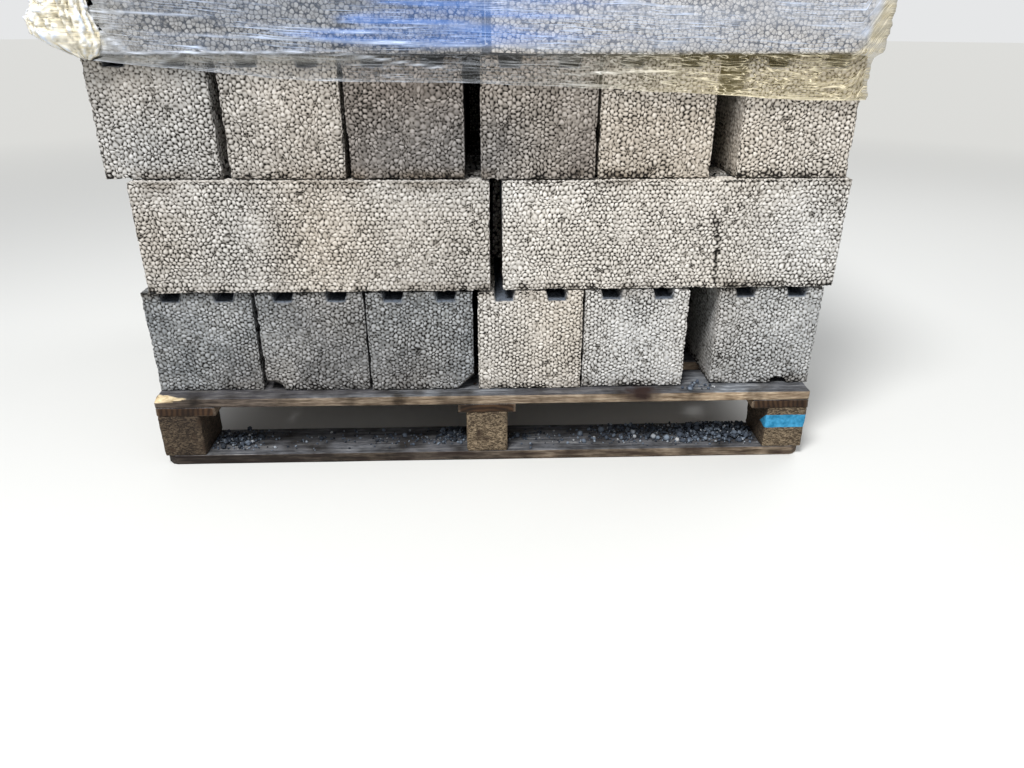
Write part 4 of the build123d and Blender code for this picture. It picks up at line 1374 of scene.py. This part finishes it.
def paint_band(tree, place, wood, settings):
    """The wood's colour with bright blue marking paint over it: a band with a point on its left side.

    The mask is worked out from Object coordinates: the height above the band's middle line, and how far back
    along the left side the paint has come. Its edge wanders by a millimetre or so of noise.
    """
    low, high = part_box("spacer_front_right")
    across, back, up = add_node(tree, "ShaderNodeSeparateXYZ", (place,)).outputs
    ragged = add_node(tree, "ShaderNodeTexNoise", {"Vector": place, "Scale": 90.0, "Detail": 3.0})
    stop = low[1] + settings.band_reach
    tapered = add_node(tree, "ShaderNodeMapRange", (back, low[1] + 1 * MM, stop, 1.0, 0.0))
    left = add_node(tree, "ShaderNodeMath", (across, (low[0] + high[0]) / 2), operation="LESS_THAN")
    share = add_node(tree, "ShaderNodeMix", {0: left, 2: 1.0, 3: tapered})
    sink = add_node(tree, "ShaderNodeMath", (1.0, share), operation="SUBTRACT")
    middle = (sink, -BAND_SINK, settings.band_height)
    middle = add_node(tree, "ShaderNodeMath", middle, operation="MULTIPLY_ADD")
    away = add_node(tree, "ShaderNodeMath", (up, middle), operation="SUBTRACT")
    away = add_node(tree, "ShaderNodeMath", (away,), operation="ABSOLUTE")
    wander = add_node(tree, "ShaderNodeMath", (ragged, 3 * MM, -1.5 * MM), operation="MULTIPLY_ADD")
    away = add_node(tree, "ShaderNodeMath", (away, wander), operation="ADD")
    reach = add_node(tree, "ShaderNodeMath", (share, settings.band_width / 2), operation="MULTIPLY")
    inside = add_node(tree, "ShaderNodeMath", (reach, away), operation="SUBTRACT")
    mask = add_node(tree, "ShaderNodeMapRange", (inside, 0.0, 0.5 * MM))
    ahead = add_node(tree, "ShaderNodeMath", (back, stop), operation="LESS_THAN")
    mask = add_node(tree, "ShaderNodeMath", (mask, ahead), operation="MULTIPLY")
    blue = add_node(tree, "ShaderNodeValToRGB", (ragged,), ((0.35, "#22789F"), (0.65, "#4AA5D2")))
    return add_node(tree, "ShaderNodeMix", {0: mask, 6: wood, 7: blue}, data_type="RGBA")


def draw_creases(tree, sheet, size, thickness, detail, distortion):
    """Thin lines where noise drawn out to the given length and width passes its middle value."""
    drawn = add_node(tree, "ShaderNodeMapping", {"Vector": sheet, "Scale": (1 / size[0], 1 / size[1], 1.0)})
    noise = add_node(tree, "ShaderNodeTexNoise", {
        "Vector": drawn, "Scale": 1.0, "Detail": detail, "Distortion": distortion,
    })
    away = add_node(tree, "ShaderNodeMath", (noise, 2.0, -1.0), operation="MULTIPLY_ADD")
    away = add_node(tree, "ShaderNodeMath", (away,), operation="ABSOLUTE")
    return add_node(tree, "ShaderNodeMapRange", (away, 0.0, thickness, 1.0, 0.0))


def make_film(name):
    """Clear polyethylene stretch film, blown and wound on: thin, glossy, streaked where it is pulled.

    The eye looks through it at the pellets. It is milky where several turns lie on each other, with pale
    veils that are part milky film and part painted reflection, and yellowish below the joint. A painted sky
    reflection makes it blue in a streaky patch, and painted highlights run bluish white along tight pull
    lines and golden in the crumples. The finest streaks are painted highlights on creases really a few tenths
    of a millimetre wide, drawn at about 1.5 mm so that they show.
    """
    titles = ("pull_highlight", "blue", "pale", "gold", "white", "cover")
    material, tree, sheet, field = new_material(name, titles, "UV")
    # Creases drawn as thin lines, used below as painted highlights
    long_lines = draw_creases(tree, sheet, (320 * MM, 4.5 * MM), 0.07, 1.0, 0.0)
    short_lines = draw_creases(tree, sheet, (110 * MM, 2.4 * MM), 0.05, 1.0, 0.0)
    crushed = draw_creases(tree, sheet, (60 * MM, 7 * MM), 0.09, 2.0, 1.2)
    patches = add_node(tree, "ShaderNodeMapping", {"Vector": sheet, "Scale": (7.0, 26.0, 1.0)})
    patches = add_node(tree, "ShaderNodeTexNoise", {"Vector": patches, "Scale": 1.0, "Detail": 2.0})
    patches = add_node(tree, "ShaderNodeMapRange", (patches, 0.37, 0.57))
    sheen_streaks = add_node(tree, "ShaderNodeMath", (long_lines, short_lines), operation="MAXIMUM")
    sheen_streaks = add_node(tree, "ShaderNodeMath", (sheen_streaks, patches), operation="MULTIPLY")
    crushed = add_node(tree, "ShaderNodeMath", (crushed, field["gold"]), operation="MULTIPLY")
    crushed = add_node(tree, "ShaderNodeMath", (crushed, 1.5), operation="MULTIPLY")
    sheen_streaks = add_node(tree, "ShaderNodeMath", (crushed, sheen_streaks), operation="MAXIMUM")
    # Painted sparkles within the painted sky reflection
    glint_specks = add_node(tree, "ShaderNodeTexNoise", {"Vector": sheet, "Scale": 1 / FILM_SPECK, "Detail": 1.0})
    glint_specks = add_node(tree, "ShaderNodeMapRange", (glint_specks, 0.68, 0.72))
    glint_specks = add_node(tree, "ShaderNodeMath", (glint_specks, field["blue"]), operation="MULTIPLY")
    sheen_streaks = add_node(tree, "ShaderNodeMath", (sheen_streaks, 0.66, field["pull_highlight"]), operation="MULTIPLY_ADD")
    sheen_streaks = add_node(
        tree, "ShaderNodeMath", (glint_specks, 0.7, sheen_streaks), operation="MULTIPLY_ADD", use_clamp=True
    )
    # shine: the colour of the painted highlights, golden where the gold field is high
    shine = add_node(tree, "ShaderNodeMix", {0: field["gold"], 6: "#D3E3FF", 7: "#F4E8C8"}, data_type="RGBA")
    # Over the film's grey: a milky veil with painted reflection, a painted sky reflection, a yellowish tint
    # with painted golden light, milky white, and painted highlight streaks
    colour = "#7B8493"
    for share, over in (
        (field["pale"], "#C6CDDB"),
        (field["blue"], "#6E9CEC"),
        (field["gold"], "#9A8A58"),
        (field["white"], "#F3F0E6"),
        (sheen_streaks, shine),
    ):
        colour = add_node(tree, "ShaderNodeMix", {0: share, 6: colour, 7: over}, data_type="RGBA")
    alpha = add_node(
        tree, "ShaderNodeMath", (sheen_streaks, 0.7, field["cover"]), operation="MULTIPLY_ADD", use_clamp=True
    )
    bump = add_node(tree, "ShaderNodeBump", {"Height": sheen_streaks, "Strength": 0.5, "Distance": 0.6 * MM})
    return finish_material(material, 0.3, 0.4, {"Base Color": colour, "Alpha": alpha, "Normal": bump})


def make_iron(name):
    """Nail steel, dark and rusted: brown with a dull metal gleam where it is rubbed."""
    material, tree, place, _ = new_material(name)
    rust = add_node(tree, "ShaderNodeTexNoise", {"Vector": place, "Scale": 600.0, "Detail": 3.0})
    colour = add_node(tree, "ShaderNodeValToRGB", (rust,), ((0.35, "#4A2E1C"), (0.65, "#7B7068")))
    return finish_material(material, 0.6, 0.5, {"Base Color": colour, "Metallic": 0.6})


def make_crumb_clay(name):
    """Crumbs of burnt clay and cement: matt blue-grey grit, some of it pale."""
    material, tree, place, field = new_material(name, ("tone",))
    grit = add_node(tree, "ShaderNodeTexNoise", {"Vector": place, "Scale": 900.0, "Detail": 2.0})
    tone = add_node(tree, "ShaderNodeMath", (grit, 0.25, -0.12), operation="MULTIPLY_ADD")
    tone = add_node(tree, "ShaderNodeMath", (field["tone"], tone), operation="ADD")
    colour = add_node(tree, "ShaderNodeValToRGB", (tone,), (
        (0.0, "#262A30"), (0.55, "#4A525E"), (0.92, "#7E8996"), (1.0, "#B9BABA"),
    ))
    return finish_material(material, 0.92, 0.25, {"Base Color": colour})


def make_floor_paint(name, settings):
    """Matt studio floor, painted one pale grey; the camera sees it pale in the distance too."""
    material, tree, place, _ = new_material(name)
    colour = (*settings.floor_colour, 1)
    away = add_node(tree, "ShaderNodeVectorMath", (place,), operation="LENGTH").outputs["Value"]
    far = add_node(tree, "ShaderNodeMapRange", (away, 1.4, 5.0))
    seen = add_node(tree, "ShaderNodeLightPath").outputs["Is Camera Ray"]
    far = add_node(tree, "ShaderNodeMath", (far, seen), operation="MULTIPLY")
    fade = add_node(tree, "ShaderNodeMix", {0: far, 6: colour, 7: "#000000"}, data_type="RGBA")
    return finish_material(material, 0.9, 0.1, {
        "Base Color": fade, "Emission Color": colour, "Emission Strength": far,
    })


# Sizes and colours that a user would change

class BlockSettings(bpy.types.PropertyGroup):
    """Pellet concrete."""

    pellet_spacing: FloatProperty(
        name="Pellet spacing", description="Mean distance between two pellets", default=7.7 * MM,
        unit="LENGTH",
    )
    pellet_rise: FloatProperty(
        name="Pellet rise", description="How far a pellet stands out or back", default=0.95 * MM,
        unit="LENGTH",
    )
    pit_depth: FloatProperty(
        name="Pit depth", description="Depth of the pores between pellets", default=3.4 * MM, unit="LENGTH"
    )
    shoulder_drop: FloatProperty(
        name="Shoulder drop", description="How far a pellet falls off half way to its edge", default=1.0 * MM,
        unit="LENGTH",
    )
    unevenness: FloatProperty(
        name="Unevenness", description="How irregularly the pellets lie", default=0.98, subtype="FACTOR"
    )
    missing_share: FloatProperty(
        name="Missing share", description="Share of pellets that fell out of the face", default=0.03,
        subtype="FACTOR",
    )
    warp_size: FloatProperty(
        name="Drift size", description="Size of the patches where pellets crowd or spread", default=26 * MM,
        unit="LENGTH",
    )
    warp_depth: FloatProperty(
        name="Drift depth", description="How far pellets drift", default=7.5 * MM, unit="LENGTH"
    )
    edge_wear: FloatProperty(
        name="Edge wear", description="How far the edges are rubbed back", default=0.8 * MM, unit="LENGTH"
    )
    edge_radius: FloatProperty(
        name="Edge radius", description="Mean rounding of the block's edges", default=2.6 * MM, unit="LENGTH"
    )


class TimberSettings(bpy.types.PropertyGroup):
    """Boards, spacers, nails and crumbs."""

    board_edge_radius: FloatProperty(
        name="Board edge radius", description="Mean rounding of the boards' edges", default=2.0 * MM,
        unit="LENGTH",
    )
    grain_depth: FloatProperty(
        name="Grain depth", description="How far the grain stands out", default=0.55 * MM, unit="LENGTH"
    )
    corner_cut: FloatProperty(
        name="Corner cut", description="Corners sawn off the bottom boards", default=14 * MM, unit="LENGTH"
    )
    split_length: FloatProperty(
        name="Split length", description="Wedge split off the front deck board", default=62 * MM,
        unit="LENGTH",
    )
    split_width: FloatProperty(
        name="Split width", description="How far the split reaches over the top", default=24 * MM,
        unit="LENGTH",
    )
    split_depth: FloatProperty(
        name="Split depth", description="How far the split reaches down the end", default=7 * MM,
        unit="LENGTH",
    )
    spacer_edge_radius: FloatProperty(
        name="Spacer edge radius", description="Rounding of the spacers' upright edges", default=4 * MM,
        unit="LENGTH",
    )
    flake_depth: FloatProperty(
        name="Flake depth", description="How far the chips stand out", default=0.7 * MM, unit="LENGTH"
    )
    band_height: FloatProperty(
        name="Band height", description="Middle of the blue band above the floor", default=73.5 * MM,
        unit="LENGTH",
    )
    band_width: FloatProperty(
        name="Band width", description="Width of the blue band", default=27 * MM, unit="LENGTH"
    )
    band_reach: FloatProperty(
        name="Band reach", description="How far back the band's point reaches", default=28 * MM, unit="LENGTH"
    )
    nail_head: FloatProperty(
        name="Nail head", description="Diameter of a nail's head", default=8 * MM, unit="LENGTH"
    )
    crumb_size: FloatProperty(
        name="Crumb size", description="Size of the largest common crumbs", default=6.5 * MM, unit="LENGTH"
    )


class FilmSettings(bpy.types.PropertyGroup):
    """Stretch film."""

    film_clearance: FloatProperty(
        name="Clearance", description="How far the film stands off the blocks", default=1.7 * MM,
        unit="LENGTH",
    )
    film_slack: FloatProperty(
        name="Slack", description="How far the film stands off at the right front corner", default=21 * MM,
        unit="LENGTH",
    )
    film_rows: IntProperty(
        name="Rows", description="Rings of points from the lower to the top edge", default=66
    )
    fold_height: FloatProperty(
        name="Fold height", description="How far the folds stand out", default=2.0 * MM, unit="LENGTH"
    )
    pull_width: FloatProperty(
        name="Pull width", description="Half the width of a pull line", default=2.6 * MM, unit="LENGTH"
    )
    pleat_depth: FloatProperty(
        name="Pleat depth", description="Depth of the pleats in the gathered corner", default=16 * MM,
        unit="LENGTH",
    )


class StageSettings(bpy.types.PropertyGroup):
    """Floor, lights and camera."""

    camera_place: FloatVectorProperty(
        name="Camera place", description="Where the camera stands", default=(-0.0018, -1.6438, 0.752),
        unit="LENGTH",
    )
    camera_down: FloatProperty(
        name="Camera down", description="How far the camera looks down", default=radians(25.5),
        subtype="ANGLE",
    )
    camera_aside: FloatProperty(
        name="Camera aside", description="How far the camera looks to the left", default=radians(-2.2),
        subtype="ANGLE",
    )
    camera_roll: FloatProperty(
        name="Camera roll", description="How far the camera leans", default=radians(-0.2), subtype="ANGLE"
    )
    lens: FloatProperty(
        name="Lens", description="Focal length in millimetres on a 36 mm sensor", default=26.72
    )
    floor_colour: FloatVectorProperty(
        name="Floor colour", description="Pale floor", default=linear("#D9D9D6")[:3], subtype="COLOR"
    )
    sky_strength: FloatProperty(name="Sky strength", description="Even light from all round", default=0.55)
    lamp_power: FloatProperty(
        name="Lamp power", description="Soft lamp above the front", default=172.0, unit="POWER"
    )


class PalletSettings(bpy.types.PropertyGroup):
    """All the settings of the loaded pallet."""

    blocks: PointerProperty(type=BlockSettings)
    timber: PointerProperty(type=TimberSettings)
    film: PointerProperty(type=FilmSettings)
    stage: PointerProperty(type=StageSettings)


class PALLET_OT_lay_blocks(bpy.types.Operator):
    """Lay a skin of clay pellets over every concrete block"""

    bl_idname = "pallet.lay_blocks"
    bl_label = "Lay blocks"

    def execute(self, context):
        settings = context.scene.pallet.blocks
        slots = {part["node"]: part["material_slot"] for part in frame["record"]["subparts"]}
        materials = {slot: make_concrete(name) for slot, name in (
            ("block_dry", "expanded_clay_concrete"), ("block_damp", "damp_expanded_clay_concrete"),
        )}
        for node in sorted(frame["nodes"]):
            if node.startswith("course_"):
                *skin, triangles, polygons = block_skin(node, settings)
                points, fields = weather_block(node, *skin, settings)
                piece = make_piece(f"{node}_pellets", points, triangles, polygons, fields)
                finish_piece(piece, materials[slots[node]], slots[node], node)
        return {"FINISHED"}


class PALLET_OT_saw_boards(bpy.types.Operator):
    """Give every board of the pallet its sawn, weathered surface"""

    bl_idname = "pallet.saw_boards"
    bl_label = "Saw boards"

    def execute(self, context):
        settings = context.scene.pallet.timber
        lengthwise = make_timber("weathered_pine", 0)
        crosswise = make_timber("weathered_pine_crosswise", 1)
        for node in sorted(frame["nodes"]):
            if "board" in node:
                points, triangles, fields = board_surface(node, settings)
                piece = make_piece(f"{node}_timber", points, triangles, fields=fields)
                finish_piece(piece, crosswise if node.startswith("cross") else lengthwise, "board_wood", node)
        return {"FINISHED"}


class PALLET_OT_press_spacers(bpy.types.Operator):
    """Give every spacer its pressed chipboard surface, and the right front one its blue band"""

    bl_idname = "pallet.press_spacers"
    bl_label = "Press spacers"

    def execute(self, context):
        settings = context.scene.pallet.timber
        chipboard = make_chipboard("pressed_chipboard")
        painted = make_chipboard("pressed_chipboard_painted", settings)
        for node in sorted(frame["nodes"]):
            if node.startswith("spacer"):
                points, triangles, fields = spacer_surface(node, settings)
                piece = make_piece(f"{node}_chipboard", points, triangles, fields=fields)
                finish_piece(piece, painted if node == "spacer_front_right" else chipboard, "chipboard", node)
        return {"FINISHED"}


class PALLET_OT_add_small_things(bpy.types.Operator):
    """Drive the nails and scatter the loose crumbs"""

    bl_idname = "pallet.add_small_things"
    bl_label = "Add nails and crumbs"

    def execute(self, context):
        settings = context.scene.pallet.timber
        nails = make_piece("nails", *nail_surface(settings))
        finish_piece(nails, make_iron("rusted_nail_iron"), "board_wood")
        points, triangles, fields = crumb_surface(settings)
        crumbs = make_piece("loose_crumbs", points, triangles, fields=fields)
        finish_piece(crumbs, make_crumb_clay("burnt_clay_crumbs"), "block_dry")
        return {"FINISHED"}


class PALLET_OT_wrap_film(bpy.types.Operator):
    """Wrap the stretch film round the top course and gather it at the left front corner"""

    bl_idname = "pallet.wrap_film"
    bl_label = "Wrap film"

    def execute(self, context):
        settings = context.scene.pallet.film
        material = make_film("stretch_film_polyethylene")
        points, triangles, fields, uv = film_surface(settings)
        wrap = make_piece("film_wrap", points, triangles, fields=fields, uv=uv)
        finish_piece(wrap, material, "stretch_film", "stretch_film")
        points, triangles, fields, uv = gathered_surface(settings)
        bunch = make_piece("film_gathered", points, triangles, fields=fields, uv=uv)
        finish_piece(bunch, material, "stretch_film")
        return {"FINISHED"}


class PALLET_OT_set_stage(bpy.types.Operator):
    """Set out the pale floor, the soft lights and the camera"""

    bl_idname = "pallet.set_stage"
    bl_label = "Set stage"

    def execute(self, context):
        settings = context.scene.pallet.stage
        context.scene.view_settings.view_transform = "Standard"
        set_floor(settings)
        set_lights(settings)
        set_camera(settings)
        return {"FINISHED"}


def set_floor(settings):
    """A round pale floor, large enough to reach past every view: two rings of points round the pallet."""
    turns = np.linspace(0, 2 * pi, FLOOR_SIDES, endpoint=False)
    circle = np.column_stack((np.cos(turns), np.sin(turns), np.zeros(FLOOR_SIDES)))
    inner = np.arange(FLOOR_SIDES)
    outer = inner + FLOOR_SIDES
    strip = np.concatenate((
        np.column_stack((inner, outer, np.roll(outer, -1))),
        np.column_stack((inner, np.roll(outer, -1), np.roll(inner, -1))),
    ))
    floor = make_piece("floor", np.concatenate([radius * circle for radius in FLOOR_RADII]), strip, [inner])
    floor.data.materials.append(make_floor_paint("studio_floor", settings))


def set_lights(settings):
    """A pale even world and one large soft lamp above the front, turned towards the load."""
    world = bpy.data.worlds.new("soft_sky")
    world.use_nodes = True
    tree = world.node_tree
    tree.nodes.clear()
    rays = add_node(tree, "ShaderNodeLightPath").outputs
    shown = rays["Is Camera Ray"]
    for kind in ("Is Glossy Ray", "Is Transmission Ray"):
        shown = add_node(tree, "ShaderNodeMath", (shown, rays[kind]), operation="MAXIMUM")
    lit = add_node(tree, "ShaderNodeBackground", ("#F2F5FA", settings.sky_strength))
    seen = add_node(tree, "ShaderNodeBackground", ("#E6E7E8", 1.0))
    both = add_node(tree, "ShaderNodeMixShader", (shown, lit, seen))
    add_node(tree, "ShaderNodeOutputWorld", (both,))
    bpy.context.scene.world = world
    lamps = (
        ("key_lamp", (-0.8, -2.0, 3.6), 1.3, settings.lamp_power),
        ("fill_lamp", (2.4, 1.6, 2.6), 2.2, settings.lamp_power * 0.2),
    )
    for name, place, width, power in lamps:
        data = bpy.data.lights.new(name, "AREA")
        data.shape = "DISK"
        data.size = width
        data.energy = power
        lamp = bpy.data.objects.new(name, data)
        lamp.location = place
        towards = Vector((0, 0, LOAD_MIDDLE)) - lamp.location
        lamp.rotation_euler = towards.to_track_quat("-Z", "Y").to_euler()
        bpy.context.scene.collection.objects.link(lamp)


def set_camera(settings):
    """The camera, at the photograph's viewing angle."""
    data = bpy.data.cameras.new("camera")
    data.lens = settings.lens
    data.sensor_width = 36
    camera = bpy.data.objects.new("camera", data)
    aim = Euler((0, 0, settings.camera_aside)).to_matrix() @ Euler((-settings.camera_down, 0, 0)).to_matrix()
    aim = aim @ Euler((0, settings.camera_roll, 0)).to_matrix() @ Euler((pi / 2, 0, 0)).to_matrix()
    camera.matrix_world = Matrix.Translation(settings.camera_place) @ aim.to_4x4()
    bpy.context.scene.collection.objects.link(camera)
    bpy.context.scene.camera = camera


class VIEW3D_PT_pallet(bpy.types.Panel):
    """Settings and operators of the loaded pallet"""

    bl_label = "Pallet of concrete blocks"
    bl_space_type = "VIEW_3D"
    bl_region_type = "UI"
    bl_category = "Pallet"

    def draw(self, context):
        settings = context.scene.pallet
        for title in ("blocks", "timber", "film", "stage"):
            group = getattr(settings, title)
            box = self.layout.box()
            box.label(text=title.capitalize())
            for name in group.__annotations__:
                box.prop(group, name)
        for operator in OPERATORS:
            self.layout.operator(operator.bl_idname)


OPERATORS = (
    PALLET_OT_lay_blocks,
    PALLET_OT_saw_boards,
    PALLET_OT_press_spacers,
    PALLET_OT_add_small_things,
    PALLET_OT_wrap_film,
    PALLET_OT_set_stage,
)
CLASSES = (
    BlockSettings, TimberSettings, FilmSettings, StageSettings, PalletSettings, *OPERATORS, VIEW3D_PT_pallet
)


def register():
    """Register the classes and hang the settings on the scene."""
    for made in CLASSES:
        bpy.utils.register_class(made)
    bpy.types.Scene.pallet = PointerProperty(type=PalletSettings)


def unregister():
    """Take the settings off the scene and unregister the classes."""
    del bpy.types.Scene.pallet
    for made in reversed(CLASSES):
        bpy.utils.unregister_class(made)


def main():
    """Build every piece in order."""
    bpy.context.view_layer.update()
    register()
    bpy.ops.pallet.lay_blocks()
    bpy.ops.pallet.saw_boards()
    bpy.ops.pallet.press_spacers()
    bpy.ops.pallet.add_small_things()
    bpy.ops.pallet.wrap_film()
    bpy.ops.pallet.set_stage()


if __name__ == "__main__":
    main()
